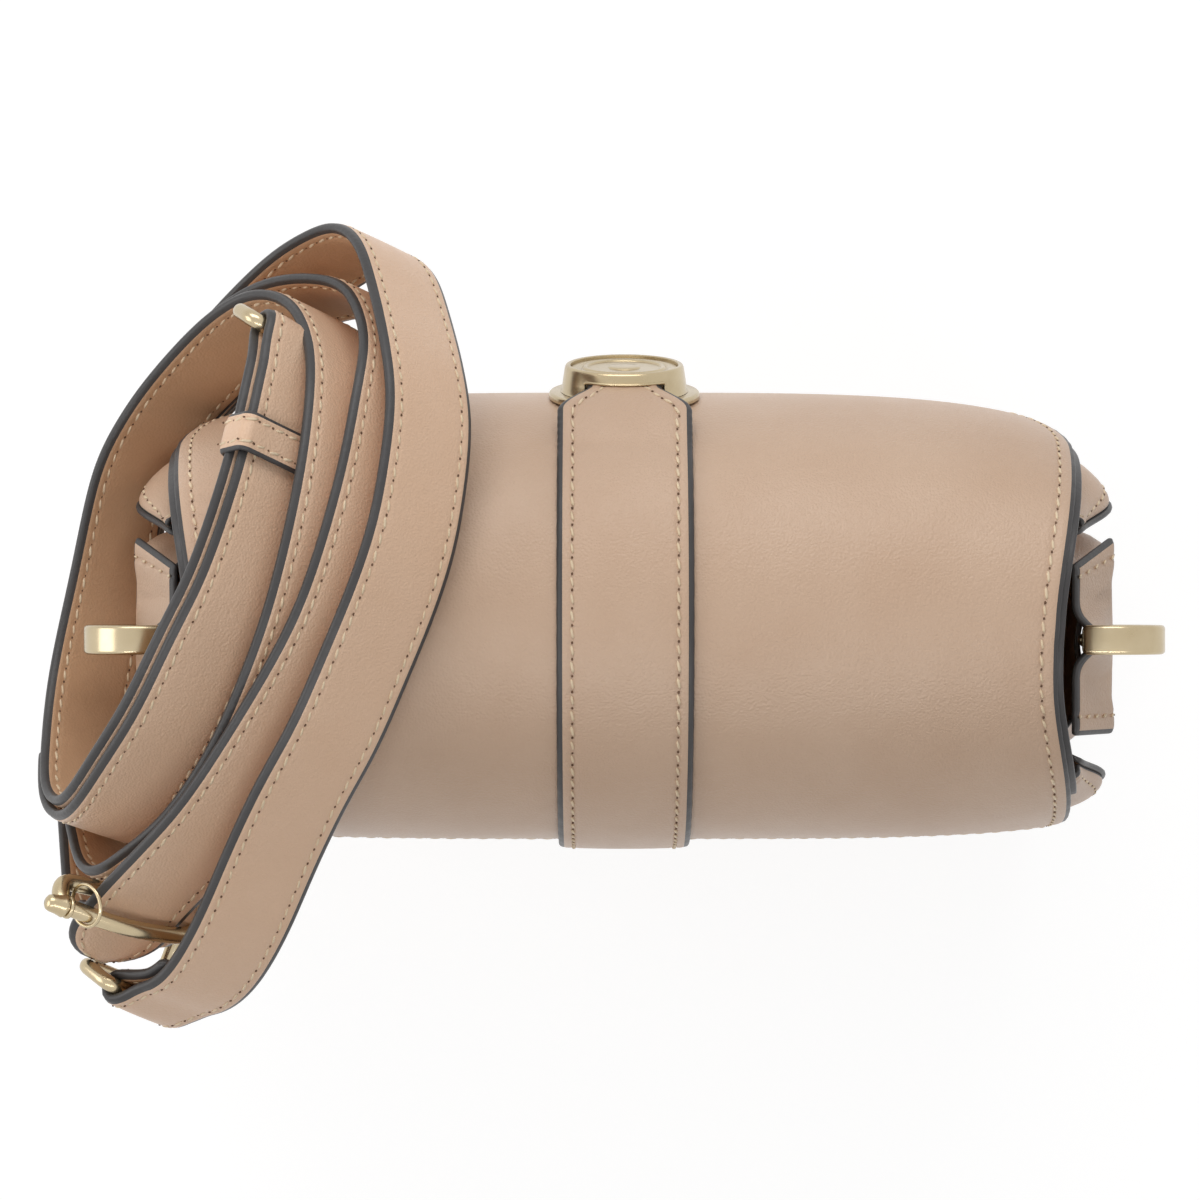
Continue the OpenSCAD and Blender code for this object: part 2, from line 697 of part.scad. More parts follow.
// The upper bar lies over the long strap, and the lower bar in the short strap's end
slide_axis = across(long_path, slide_point);
slide_top = long_path[slide_point] + outwards(long_path, slide_point) * slide_off;
slide_foot = short_path[0] - along(short_path, 0) * (slide_r + pass);
slide_foot_axis = across(short_path, 0);
slide_corners = [slide_top + slide_axis * slide_low, slide_top + slide_axis * slide_high,
                 slide_foot + slide_foot_axis * slide_high,
                 slide_foot + slide_foot_axis * (slide_low - slide_foot_more)];
slide_knob_r = 3;
slide_knob_out = 1.6;
slide_collar_r = 3.2;
slide_collar_w = 1.2;
slide_neck = 1.8;

module slide_bar() color(brass) union() {
    rod_run([for (i = [0 : 5]) slide_corners[i % 4]], slide_r);
    translate(slide_corners[0] - slide_axis * slide_knob_out)
        sphere(r = slide_knob_r, $fn = round_fn / 2);
    rod(slide_corners[0] + slide_axis * slide_neck,
        slide_corners[0] + slide_axis * (slide_neck + slide_collar_w), slide_collar_r);
}

wire_r = 0.5;
wire_ring_r = 5.2;
wire_from_end = 6.2;
wire_tilt = -65;

// Thin wire ring that hangs on the bar
module slide_wire() color(brass)
    on_strap(long_path, slide_point, slide_off, slide_low + wire_from_end)
        translate([0, slide_r + wire_r + pass - wire_ring_r, 0]) rotate([0, wire_tilt, 0])
            rotate_extrude($fn = round_fn) translate([wire_ring_r, 0])
                circle(r = wire_r, $fn = round_fn / 2);

// Snap hooks: an eye in the strap's folded end, a swivel boss and a sprung hook below it

eye_half = strap_w / 2 + eye_r + 1.2;
eye_drop = 11;
boss_r = 3.6;
boss_h = 5;
pin_r = 1.5;
head_r = 2.4;
head_h = 1.4;
collar_h = 1.6;
hook_rod = 2.2;
hook_r = 8.5;
shank_l = 10;
gate_r = 1.3;

// Direction in which an eye hangs below its rod: straight down, square to the rod
function hang(a) = unit([0, 0, -1] + a * a[2]);

// Place of a boss: the lower corner of the eye
function boss_place(c, a) = c + a * (eye_half - boss_r) + hang(a) * eye_drop;

eye_out = eye_r + pass;
eye_1_axis = across(long_path, 0);
eye_1_centre = long_path[0] - along(long_path, 0) * eye_out
             + outwards(long_path, 0) * (strap_t + tail_gap) / 2;
short_last = len(short_path) - 1;
eye_2_axis = across(short_path, short_last);
eye_2_centre = short_path[short_last] + along(short_path, short_last) * eye_out;

boss_ball = 4.4;

module hook_eye(c, a) {
    d = hang(a) * eye_drop;
    b = boss_place(c, a);
    difference() {
        union() {
            rod_run([b, c - a * eye_half + d, c - a * eye_half, c + a * eye_half,
                     c + a * eye_half + d * 0.55, b], eye_r);
            translate(b) intersection() {
                sphere(r = boss_ball, $fn = round_fn);
                translate([-boss_ball, -boss_ball, -boss_h / 2])
                    cube([2 * boss_ball, 2 * boss_ball, boss_h]);
            }
        }
        translate(b - [0, 0, boss_h]) cylinder(r = pin_r + run, h = 2 * boss_h, $fn = round_fn);
        translate(b + [0, 0, boss_h / 2])
            cylinder(r = head_r + pass, h = boss_h, $fn = round_fn);
        translate(b - [0, 0, 1.5 * boss_h])
            cylinder(r = boss_r + pass, h = boss_h, $fn = round_fn);
    }
}

// Hook below the boss: pin and head above, collar, shank and a bent rod, seen along X
module hook_body(b, turn) translate(b) rotate([0, 0, turn]) {
    low = -boss_h / 2 - pass - collar_h;
    cylinder(r = pin_r, h = boss_h / 2 + pass, $fn = round_fn);
    translate([0, 0, -boss_h / 2 - pass - over / 2])
        cylinder(r = pin_r, h = boss_h / 2 + pass + over / 2, $fn = round_fn);
    translate([0, 0, boss_h / 2 + pass]) cylinder(r = head_r, h = head_h, $fn = round_fn);
    translate([0, 0, low]) cylinder(r = boss_r, h = collar_h, $fn = round_fn);
    translate([0, 0, low - shank_l]) cylinder(r = hook_rod, h = shank_l, $fn = round_fn);
    translate([0, hook_r, low - shank_l]) rotate([90, 0, 90]) rotate([0, 0, 180])
        rotate_extrude(angle = 200, $fn = round_fn) translate([hook_r, 0])
            circle(r = hook_rod, $fn = round_fn);
}

gate_angle = 20;

module hook_gate(b, turn) translate(b) rotate([0, 0, turn]) {
    low = -boss_h / 2 - pass - collar_h - shank_l;
    a = [0, hook_rod + gate_r + pass, low + shank_l * 0.6];
    c = [0, 2 * hook_r - hook_rod - gate_r - pass, low + hook_rod];
    rod(a, c, gate_r);
    translate(a) sphere(r = gate_r, $fn = round_fn / 2);
    translate(c) sphere(r = gate_r, $fn = round_fn / 2);
}

hook_1_turn = 95;
hook_2_turn = 160;

module hook_1_eye() color(brass) hook_eye(eye_1_centre, eye_1_axis);

module hook_2_eye() color(brass) hook_eye(eye_2_centre, eye_2_axis);

module hook_1_body() color(brass) hook_body(boss_place(eye_1_centre, eye_1_axis), hook_1_turn);

module hook_2_body() color(brass) hook_body(boss_place(eye_2_centre, eye_2_axis), hook_2_turn);

module hook_1_gate() color(brass) hook_gate(boss_place(eye_1_centre, eye_1_axis), hook_1_turn);

module hook_2_gate() color(brass) hook_gate(boss_place(eye_2_centre, eye_2_axis), hook_2_turn);

echo(boss_1 = boss_place(eye_1_centre, eye_1_axis));
echo(boss_2 = boss_place(eye_2_centre, eye_2_axis));
echo(hinge = dome_point(half_turn - hinge_angle)
             + dome_normal(half_turn - hinge_angle) * (belt_t + 2 * seat));

base_panel();
front_panel();
back_panel();
gusset_left();
gusset_right();
lining();
inner_pocket();
magnet_socket();
tab_left();
tab_right();
flap_root();
belt_tail();
flap_outer();
flap_lining();
belt();
lock_flange();
lock_drum();
lock_face();
lock_rivets();
magnet_stud();
ring_left();
ring_right();
strap_long();
strap_tail();
strap_short();
keeper();
strap_studs();
slide_bar();
slide_wire();
hook_1_eye();
hook_1_body();
hook_1_gate();
hook_2_eye();
hook_2_body();
hook_2_gate();
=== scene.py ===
# %% [markdown]
# # A leather shoulder bag
# The bag stands on its base with its flap shut. Its long strap is wound in loose loops over one
# end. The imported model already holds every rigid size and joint, so this lesson gives the bag its
# looks: soft sheets of leather with painted edges, threads, brushed metal and a lining.

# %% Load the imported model
import math
import bmesh
import bpy
import numpy as np
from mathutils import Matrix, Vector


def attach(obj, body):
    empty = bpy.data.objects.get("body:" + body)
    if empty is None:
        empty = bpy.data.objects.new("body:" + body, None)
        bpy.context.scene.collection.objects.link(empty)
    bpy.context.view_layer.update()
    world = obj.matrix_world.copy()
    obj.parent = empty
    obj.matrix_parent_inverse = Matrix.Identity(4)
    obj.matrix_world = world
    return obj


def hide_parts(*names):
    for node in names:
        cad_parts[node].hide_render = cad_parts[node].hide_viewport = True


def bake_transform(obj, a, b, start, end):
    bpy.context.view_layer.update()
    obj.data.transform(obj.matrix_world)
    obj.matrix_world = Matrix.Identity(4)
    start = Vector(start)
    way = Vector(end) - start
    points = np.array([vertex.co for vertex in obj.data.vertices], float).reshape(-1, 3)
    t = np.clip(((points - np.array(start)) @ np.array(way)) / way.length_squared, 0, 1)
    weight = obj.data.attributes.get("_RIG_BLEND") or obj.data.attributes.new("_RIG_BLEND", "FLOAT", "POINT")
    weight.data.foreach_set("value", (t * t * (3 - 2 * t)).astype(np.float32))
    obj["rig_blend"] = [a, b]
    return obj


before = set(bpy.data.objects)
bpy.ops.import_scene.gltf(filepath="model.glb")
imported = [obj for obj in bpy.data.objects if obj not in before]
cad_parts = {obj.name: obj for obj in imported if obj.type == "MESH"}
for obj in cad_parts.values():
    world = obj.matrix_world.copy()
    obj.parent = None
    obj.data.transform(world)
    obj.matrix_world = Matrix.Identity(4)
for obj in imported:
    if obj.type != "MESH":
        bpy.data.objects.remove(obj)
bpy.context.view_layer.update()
MM = 0.001
print("nodes in the packed model:", len(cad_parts))

# %% [markdown]
# ## Camera
# The picture was taken from straight above. A long lens a metre up gives the same mild
# perspective: the top of the flap looks a little larger than the base.

# %% Camera
def in_scene(name, data):
    """A new object with this data, linked to the scene."""
    thing = bpy.data.objects.new(name, data)
    bpy.context.scene.collection.objects.link(thing)
    return thing


lens = bpy.data.cameras.new("camera")
lens.lens = 120
lens.sensor_width = 36
camera = in_scene("camera", lens)
camera.location = (0.00625, -0.0041, 1.150)
camera.rotation_euler = (0, 0, math.pi)
bpy.context.scene.camera = camera
print("camera height in metres:", camera.location.z)

# %% [markdown]
# ## Colours and node groups
# Leather isn't one flat colour. Its dye pools in soft clouds and its grain is a net of tiny
# pillows. Both are needed in several finishes, so each is a node group that is built once. The
# groups read Object coordinates, so the pattern stays on a piece when its joint moves.

# %% Colour helper
def paint(red, green, blue):
    """A colour given as the eye sees it, from 0 to 255, in the linear form that nodes take."""
    return [((c / 255 + 0.055) / 1.055) ** 2.4 if c > 10 else c / 3294 for c in
            (red, green, blue)] + [1.0]


def add_node(tree, kind, x, y, **values):
    node = tree.nodes.new(kind)
    node.location = (x, y)
    for name, value in values.items():
        setattr(node, name, value)
    return node


def fill(node, values):
    """Sets inputs of a node by their names or numbers."""
    for socket, value in values.items():
        node.inputs[socket].default_value = value


def connect(tree, *joins):
    """Links sockets: each join is a node, its output, the node that it feeds and the input."""
    for source, output, target, socket in joins:
        tree.links.new(source.outputs[output], target.inputs[socket])


print("leather colour, linear:", [round(c, 3) for c in paint(200, 172, 147)])

# %% Group: soft clouds in a colour
clouds = bpy.data.node_groups.new("dye_clouds", "ShaderNodeTree")
for label, kind in (("Light", "NodeSocketColor"), ("Dark", "NodeSocketColor"),
                    ("Scale", "NodeSocketFloat"), ("Contrast", "NodeSocketFloat")):
    clouds.interface.new_socket(label, in_out="INPUT", socket_type=kind)
clouds.interface.new_socket("Color", in_out="OUTPUT", socket_type="NodeSocketColor")
clouds.interface.new_socket("Mask", in_out="OUTPUT", socket_type="NodeSocketFloat")
given = add_node(clouds, "NodeGroupInput", -900, 0)
place = add_node(clouds, "ShaderNodeTexCoord", -900, 300)
cloud = add_node(clouds, "ShaderNodeTexNoise", -600, 200)
fill(cloud, {"Detail": 5, "Roughness": 0.62})
ramp = add_node(clouds, "ShaderNodeMapRange", -350, 200)
fill(ramp, {"From Min": 0.3, "From Max": 0.7})
share = add_node(clouds, "ShaderNodeMath", -150, 100, operation="MULTIPLY")
blend_colours = add_node(clouds, "ShaderNodeMix", 50, 0, data_type="RGBA")
result = add_node(clouds, "NodeGroupOutput", 300, 0)
connect(clouds, (place, "Object", cloud, "Vector"), (given, "Scale", cloud, "Scale"),
        (cloud, "Fac", ramp, "Value"), (ramp, "Result", share, 0), (given, "Contrast", share, 1),
        (share, 0, blend_colours, "Factor"), (given, "Light", blend_colours, "A"),
        (given, "Dark", blend_colours, "B"), (blend_colours, "Result", result, "Color"),
        (share, 0, result, "Mask"))
print("group made:", clouds.name)

# %% Group: pebbled grain
grain = bpy.data.node_groups.new("leather_grain", "ShaderNodeTree")
for label in ("Scale", "Pore"):
    grain.interface.new_socket(label, in_out="INPUT", socket_type="NodeSocketFloat")
grain.interface.new_socket("Height", in_out="OUTPUT", socket_type="NodeSocketFloat")
given = add_node(grain, "NodeGroupInput", -900, 0)
place = add_node(grain, "ShaderNodeTexCoord", -900, 300)
pebbles = add_node(grain, "ShaderNodeTexVoronoi", -500, 200, feature="F1")
fill(pebbles, {"Randomness": 1.0})
pores = add_node(grain, "ShaderNodeTexNoise", -500, -100)
fill(pores, {"Detail": 3})
pore_scale = add_node(grain, "ShaderNodeMath", -700, -100, operation="MULTIPLY")
fill(pore_scale, {1: 2.7})
pore_part = add_node(grain, "ShaderNodeMath", -300, -100, operation="MULTIPLY")
sum_up = add_node(grain, "ShaderNodeMath", -100, 50, operation="SUBTRACT")
result = add_node(grain, "NodeGroupOutput", 150, 0)
connect(grain, (place, "Object", pebbles, "Vector"), (given, "Scale", pebbles, "Scale"),
        (place, "Object", pores, "Vector"), (given, "Scale", pore_scale, 0),
        (pore_scale, 0, pores, "Scale"), (pores, "Fac", pore_part, 0),
        (given, "Pore", pore_part, 1), (pore_part, 0, sum_up, 0), (pebbles, "Distance", sum_up, 1),
        (sum_up, 0, result, "Height"))
print("group made:", grain.name)

# %% [markdown]
# ## Finishes
# One recipe serves every finish here: a clouded colour, a grain that lifts the surface, and a
# roughness that wanders a little, since rubbed places shine more. Only the numbers differ between
# the satin outer leather, the lighter strap leather and the tan back of the leather, both of which
# carry painted light, the painted edges, the dark dots of painted shade in the needle holes, the
# thread and the metal.

# %% Recipe for a finish
def finish(name, light, dark, rough, grain_scale, depth, contrast=0.8, cloud_scale=30,
           metallic=0.0, pore=0.5, coat=0.0, specular=0.5):
    material = bpy.data.materials.new(name)
    material.use_nodes = True
    tree = material.node_tree
    shader = tree.nodes["Principled BSDF"]
    fill(shader, {"Metallic": metallic, "Coat Weight": coat, "Coat Roughness": 0.25,
                  "Specular IOR Level": specular})
    dye = add_node(tree, "ShaderNodeGroup", -700, 200, node_tree=clouds)
    fill(dye, {"Light": light, "Dark": dark, "Scale": cloud_scale, "Contrast": contrast})
    connect(tree, (dye, "Color", shader, "Base Color"))
    gloss = add_node(tree, "ShaderNodeMapRange", -450, 0)
    fill(gloss, {"To Min": rough - 0.03, "To Max": rough + 0.06})
    connect(tree, (dye, "Mask", gloss, "Value"), (gloss, "Result", shader, "Roughness"))
    skin = add_node(tree, "ShaderNodeGroup", -700, -300, node_tree=grain)
    fill(skin, {"Scale": grain_scale, "Pore": pore})
    lift = add_node(tree, "ShaderNodeBump", -250, -300)
    fill(lift, {"Strength": 1.0, "Distance": depth})
    connect(tree, (skin, "Height", lift, "Height"), (lift, "Normal", shader, "Normal"))
    return material


# %% The finishes of this bag
satin_leather = finish("satin_leather", paint(209, 179, 154), paint(201, 169, 143), 0.35, 1500,
                       0.00012, specular=0.38)
# The back of the leather is a warm tan that is partly painted light: its warmth stands in for bounce light,
# and it is lighter to make up for the shade between the strap's loops.
tan_back_and_painted_light = finish("tan_back_and_painted_light", paint(210, 171, 136), paint(196, 156, 121), 0.5, 1300, 0.00008)
# The strap's leather is a lighter copy of the body's leather: painted light that makes up for the light its
# sideways faces miss.
strap_leather_painted_light = finish("strap_leather_painted_light", paint(231, 196, 167), paint(224, 187, 156), 0.36, 1500,
                       0.00011, specular=0.4)
edge_paint = finish("edge_paint", paint(72, 70, 70), paint(55, 53, 53), 0.4, 700, 0.00005,
                    specular=0.4)
thread = finish("waxed_thread", paint(236, 216, 186), paint(220, 196, 162), 0.5, 6000, 0.00003)
# Needle holes are dark brown dots: painted shade for the hollow of each hole.
needle_hole_shade = finish("needle_hole_shade", paint(112, 82, 60), paint(88, 64, 47), 0.8, 2000, 0.00002)
pale_gold = finish("brushed_pale_gold", paint(199, 183, 152), paint(181, 163, 129), 0.25, 2500,
                   0.0000014, metallic=1.0, cloud_scale=60, pore=0.8)
steel = finish("brushed_steel", paint(176, 174, 170), paint(150, 148, 145), 0.32, 2500, 0.000004,
               metallic=1.0, cloud_scale=90)
print("finishes:", [m.name for m in bpy.data.materials])

# %% [markdown]
# The lining is a plain woven cloth. Two wave patterns that cross at right angles lift the threads
# of warp and weft.

# %% Woven lining
lining_cloth = finish("woven_lining", paint(150, 122, 98), paint(132, 104, 82), 0.8, 900, 0.00004)
tree = lining_cloth.node_tree
spot = add_node(tree, "ShaderNodeTexCoord", -1300, -600)
warp = add_node(tree, "ShaderNodeTexWave", -1050, -500, bands_direction="X")
weft = add_node(tree, "ShaderNodeTexWave", -1050, -800, bands_direction="Z")
crossing = add_node(tree, "ShaderNodeMath", -800, -600, operation="MAXIMUM")
for wave in (warp, weft):
    fill(wave, {"Scale": 520})
    connect(tree, (spot, "Object", wave, "Vector"))
connect(tree, (warp, "Fac", crossing, 0), (weft, "Fac", crossing, 1))
weave_lift = add_node(tree, "ShaderNodeBump", -250, -700)
fill(weave_lift, {"Distance": 0.00015})
connect(tree, (crossing, 0, weave_lift, "Height"),
        (weave_lift, "Normal", tree.nodes["Bump"], "Normal"))

# %% [markdown]
# ## A closed sheet of leather
# Real leather has thickness, and on this bag every cut edge is rounded and painted dark grey. Two
# grids of points give the face and the back. A half round rim joins them all the way round, and
# its faces take the paint. This beats a Solidify modifier here, because face, back and rim need
# different finishes.

# %% Sheet with a painted rim
LEATHER = (satin_leather, edge_paint, satin_leather)
RIM_STEPS = 6


def unit(v):
    v = np.asarray(v, float)
    return v / np.maximum(np.linalg.norm(v, axis=-1, keepdims=True), 1e-9)


def run_length(line):
    """How far each point lies along a line of points."""
    return np.concatenate([[0], np.cumsum(np.linalg.norm(np.diff(line, axis=0), axis=1))])


def make_piece(name, points, faces, finishes, face_finish=None, sharp=None):
    """A mesh object from points in millimetres, merged, with its faces turned outwards."""
    mesh = bpy.data.meshes.new(name)
    mesh.from_pydata((np.asarray(points, float) * MM).tolist(), [], faces)
    for material in finishes:
        mesh.materials.append(material)
    if face_finish is not None:
        mesh.polygons.foreach_set("material_index", np.asarray(face_finish, np.int32))
    work = bmesh.new()
    work.from_mesh(mesh)
    bmesh.ops.remove_doubles(work, verts=work.verts, dist=2e-6)
    bmesh.ops.recalc_face_normals(work, faces=work.faces)
    work.to_mesh(mesh)
    work.free()
    mesh.shade_smooth()
    if sharp:
        mesh.set_sharp_from_angle(angle=math.radians(sharp))
    return in_scene(name, mesh)


def leather_sheet(name, face, back, finishes=LEATHER, closed=False, swapped=None, painted=(0, 1)):
    """Face, back and rim of a sheet; the paint also covers the outermost rows and columns."""
    face, back = np.asarray(face, float), np.asarray(back, float)
    rows, cols = face.shape[:2]
    index = np.arange(rows * cols).reshape(rows, cols)
    points = [face.reshape(-1, 3), back.reshape(-1, 3)]
    turns = rows if closed else rows - 1
    faces, kinds = [], []
    for i in range(turns):
        k = (i + 1) % rows
        for j in range(cols - 1):
            quad = [index[i, j], index[i, j + 1], index[k, j + 1], index[k, j]]
            faces.append(quad)
            flip = swapped is not None and swapped[i]
            brim = (min(i, turns - 1 - i) < painted[0] or min(j, cols - 2 - j) < painted[1])
            kinds.append(1 if brim else 2 if flip else 0)
            faces.append([q + rows * cols for q in reversed(quad)])
            kinds.append(1 if brim else 0 if flip else 2)
    if closed:
        loops = [[(i, 0) for i in range(rows)], [(i, cols - 1) for i in range(rows)]]
    else:
        loops = [[(0, j) for j in range(cols)] + [(i, cols - 1) for i in range(1, rows)]
                 + [(rows - 1, j) for j in range(cols - 2, -1, -1)]
                 + [(i, 0) for i in range(rows - 2, 0, -1)]]
    count = 2 * rows * cols
    for loop in loops:
        r, c = np.array([p[0] for p in loop]), np.array([p[1] for p in loop])
        top, low = face[r, c], back[r, c]
        middle = (top + low) / 2
        inner_r = r if closed else np.clip(r, 1, rows - 2)
        inner_c = np.clip(c, 1, cols - 2)
        inside = (face[inner_r, inner_c] + back[inner_r, inner_c]) / 2
        along = unit(np.roll(middle, -1, 0) - np.roll(middle, 1, 0))
        up = unit(top - low)
        out = unit(np.cross(along, up))
        if np.sum(out * (middle - inside)) < 0:
            out = -out
        half = np.linalg.norm(top - low, axis=1, keepdims=True) / 2
        chain = [r * cols + c]
        for step in range(1, RIM_STEPS):
            angle = math.pi * step / RIM_STEPS
            points.append(middle + up * half * math.cos(angle) + out * half * math.sin(angle))
            chain.append(np.arange(count, count + len(loop)))
            count += len(loop)
        chain.append(r * cols + c + rows * cols)
        for a, b in zip(chain[:-1], chain[1:]):
            for k in range(len(loop)):
                m = (k + 1) % len(loop)
                faces.append([int(a[k]), int(a[m]), int(b[m]), int(b[k])])
                kinds.append(1)
    return make_piece(name, np.concatenate(points), [list(map(int, q)) for q in faces], finishes,
                      kinds)


# %% [markdown]
# ## Seams
# A seam is a row of short slanted threads, with a dark dot of painted shade for the needle hole
# between each two. While the leather pieces are made, each seam is only noted down as a line with
# the direction that its surface faces. Geometry Nodes sew all of them at the end, body by body.

# %% Notebook of seams
SEAMS = {}
STITCH, FLAP_SEAM, BELT_SEAM = 4.2, 3.4, 2.9


def sew(key, line, up):
    SEAMS.setdefault(key, []).append((np.asarray(line, float), unit(up)))


def groove(distance, row=FLAP_SEAM, depth=0.3):
    """How far the face sinks at a distance from its edge: under the seam, and at the edge."""
    seam = depth * np.exp(-((distance - row) / 0.6) ** 2)
    edge = 0.35 * np.clip(1 - distance / 1.4, 0, 1) ** 2
    return seam + edge


# %% [markdown]
# ## The flap
# The flap is one piece of leather that comes up from the back, runs over the dome and ends in a
# rounded tongue on the front. Its middle profile is a superellipse, and the leather falls away
# towards both sides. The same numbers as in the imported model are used, on a much finer grid, and
# the columns crowd near the edges, where the seam presses a groove into the face.

# %% Profile of the dome
DEPTH_HALF, BULGE_Z, DOME_H, DOME_P = 58.6, 95.0, 72.0, 2.2
BASE_TAPER = 0.215


def spow(v, e):
    return np.sign(v) * np.abs(v) ** e


def mix(a, b, s):
    return a * (1 - s) + b * s


def half_depth(z):
    z = np.asarray(z, float)
    rise = np.clip((z - BULGE_Z) / DOME_H, 0, 1)
    dome = DEPTH_HALF * (1 - rise ** DOME_P) ** (1 / DOME_P)
    return np.where(z >= BULGE_Z, dome, DEPTH_HALF * (1 - BASE_TAPER * (1 - z / BULGE_Z) ** 2))


def dome_point(degrees):
    a = np.radians(degrees)
    return np.stack([-DEPTH_HALF * spow(np.cos(a), 2 / DOME_P),
                     BULGE_Z + DOME_H * np.abs(np.sin(a)) ** (2 / DOME_P)], -1)


low_back = np.linspace(30, BULGE_Z, 120, endpoint=False)
low_front = np.linspace(BULGE_Z, 30, 121)[1:]
profile = np.concatenate([np.stack([half_depth(low_back), low_back], 1),
                          dome_point(180 - np.linspace(0, 180, 900)),
                          np.stack([-half_depth(low_front), low_front], 1)])
profile_s = run_length(profile)
even_s = np.linspace(0, profile_s[-1], 1400)
profile = np.stack([np.interp(even_s, profile_s, profile[:, k]) for k in (0, 1)], 1)
profile_s = even_s
travel = unit(np.gradient(profile, axis=0))
profile_n = np.stack([travel[:, 1], -travel[:, 0]], 1)
top_s = profile_s[np.argmax(profile[:, 1])]
print("length of the whole profile in mm:", round(float(profile_s[-1]), 1))

# %% Points on the flap
FALL_FRONT, FALL_BACK, FALL_HALF, FALL_P = 27.0, 10.5, 121.0, 3.5
WAIST, FLARE, CORNER_Z, TIP_Z, FLAP_BACK_Z, BACK_CORNER = 105.8, 8.5, 132.0, 52.0, 97.0, 10.0
FLAP_T, SEAT, FLAP_LINING_T = 1.6, 0.1, 1.0


def flap_at(s, x, h=0.0):
    """A point at s along the profile and x to the side, raised by h from the outer face."""
    y, z, ny, nz = (np.interp(s, profile_s, column) for column in
                    (profile[:, 0], profile[:, 1], profile_n[:, 0], profile_n[:, 1]))
    rise = np.where(ny < 0, FALL_FRONT, FALL_BACK)
    share = np.clip(np.abs(x) / FALL_HALF, 0, 1)
    fall = rise * (1 - (1 - share ** FALL_P) ** (1 / FALL_P))
    return np.stack([x + 0 * y, y - ny * fall + h * ny, z + h * nz], -1)


def flap_up(s, x):
    ahead = flap_at(s + 0.5, x) - flap_at(s - 0.5, x)
    aside = flap_at(s, x + 0.5) - flap_at(s, x - 0.5)
    return unit(np.cross(ahead, aside))


def s_on_back(z):
    half = profile_s <= top_s
    return np.interp(z, profile[half, 1], profile_s[half])


def s_on_front(z):
    half = profile_s >= top_s
    return np.interp(-np.asarray(z, float), -profile[half, 1], profile_s[half])


def waisted(ny):
    """Half width from the way the surface faces: least a little behind the crest."""
    away = np.where(ny < 0.15, (0.15 - ny) / 1.15, (np.clip(ny - 0.15, 0, 1) / 0.85) ** 1.6)
    return WAIST + FLARE * (np.sqrt(away ** 2 + 0.0144) - 0.12) / 0.887


def flap_half(s):
    z, ny = np.interp(s, profile_s, profile[:, 1]), np.interp(s, profile_s, profile_n[:, 0])
    wide = waisted(ny)
    down = np.clip((CORNER_Z - z) / (CORNER_Z - TIP_Z), 0, 1)
    front = wide * np.sqrt(1 - down ** 2)
    short = np.clip(BACK_CORNER - (z - FLAP_BACK_Z), 0, BACK_CORNER)
    back = wide - BACK_CORNER + np.sqrt(BACK_CORNER ** 2 - short ** 2)
    return np.where(s >= top_s, front, back)


corner = FLAP_BACK_Z + BACK_CORNER * (1 - np.cos(np.linspace(0, np.pi / 2, 14)))
tongue = CORNER_Z - (CORNER_Z - TIP_Z) * np.sin(np.radians(np.linspace(2, 89.4, 70)))
flap_s = np.concatenate([s_on_back(corner),
                         np.linspace(s_on_back(corner[-1]), s_on_front(CORNER_Z), 90)[1:],
                         s_on_front(tongue)])
print("rows of the flap:", len(flap_s))

# %% Edge distances of a sheet drawn flat
MARGIN = np.array([0, 0.5, 1.0, 1.6, 2.2, 2.8, 3.4, 4.0, 4.6, 5.4, 6.6, 8.5])


def columns(half, middle=60, margin=MARGIN):
    """Places across a strip of a given half width, crowded near both edges."""
    scale = min(1.0, half / (2.0 * margin[-1]))
    left = -half + margin * scale
    inner = np.linspace(left[-1], -left[-1], middle)[1:-1]
    return np.concatenate([left, inner, -left[::-1]])


def outline_of(s_rows, halves):
    right = np.stack([s_rows, halves], 1)
    left = np.stack([s_rows, -halves], 1)[::-1]
    loop = np.concatenate([right, left, right[:1]])
    far = run_length(loop)
    even = np.linspace(0, far[-1], int(far[-1] / 0.8))[:-1]
    return np.stack([np.interp(even, far, loop[:, k]) for k in (0, 1)], 1)


def edge_distance(points, outline):
    found = np.empty(len(points))
    for first in range(0, len(points), 2000):
        part = points[first:first + 2000]
        gap = part[:, None, :] - outline[None, :, :]
        found[first:first + 2000] = np.sqrt((gap ** 2).sum(2).min(1))
    return found


def inset_line(outline, inset):
    """The outline moved inwards: a seam keeps its distance from the edge."""
    ahead = unit(np.roll(outline, -2, 0) - np.roll(outline, 2, 0))
    side = np.stack([-ahead[:, 1], ahead[:, 0]], 1)
    centre = outline.mean(0)
    if np.sum(side * (centre - outline)) < 0:
        side = -side
    moved = outline + side * inset
    return moved[edge_distance(moved, outline) > inset - 0.35]


# %% Flap leather
flap_halves = flap_half(flap_s)
flap_outline = outline_of(flap_s, flap_halves)
flap_x = np.array([columns(h) for h in flap_halves])
flap_rows = np.repeat(flap_s[:, None], flap_x.shape[1], 1)
flat = np.stack([flap_rows.ravel(), flap_x.ravel()], 1)
sink = groove(edge_distance(flat, flap_outline)).reshape(flap_x.shape)
flap = leather_sheet("flap_leather", flap_at(flap_rows, flap_x, -sink),
                     flap_at(flap_rows, flap_x, -FLAP_T), (satin_leather, edge_paint, tan_back_and_painted_light))
seam = inset_line(flap_outline, FLAP_SEAM)
seam = np.concatenate([seam, seam[:1]])
sew("flap", flap_at(seam[:, 0], seam[:, 1], -0.15), flap_up(seam[:, 0], seam[:, 1]))
print("flap outline in mm:", round(float(len(flap_outline) * 0.8)))

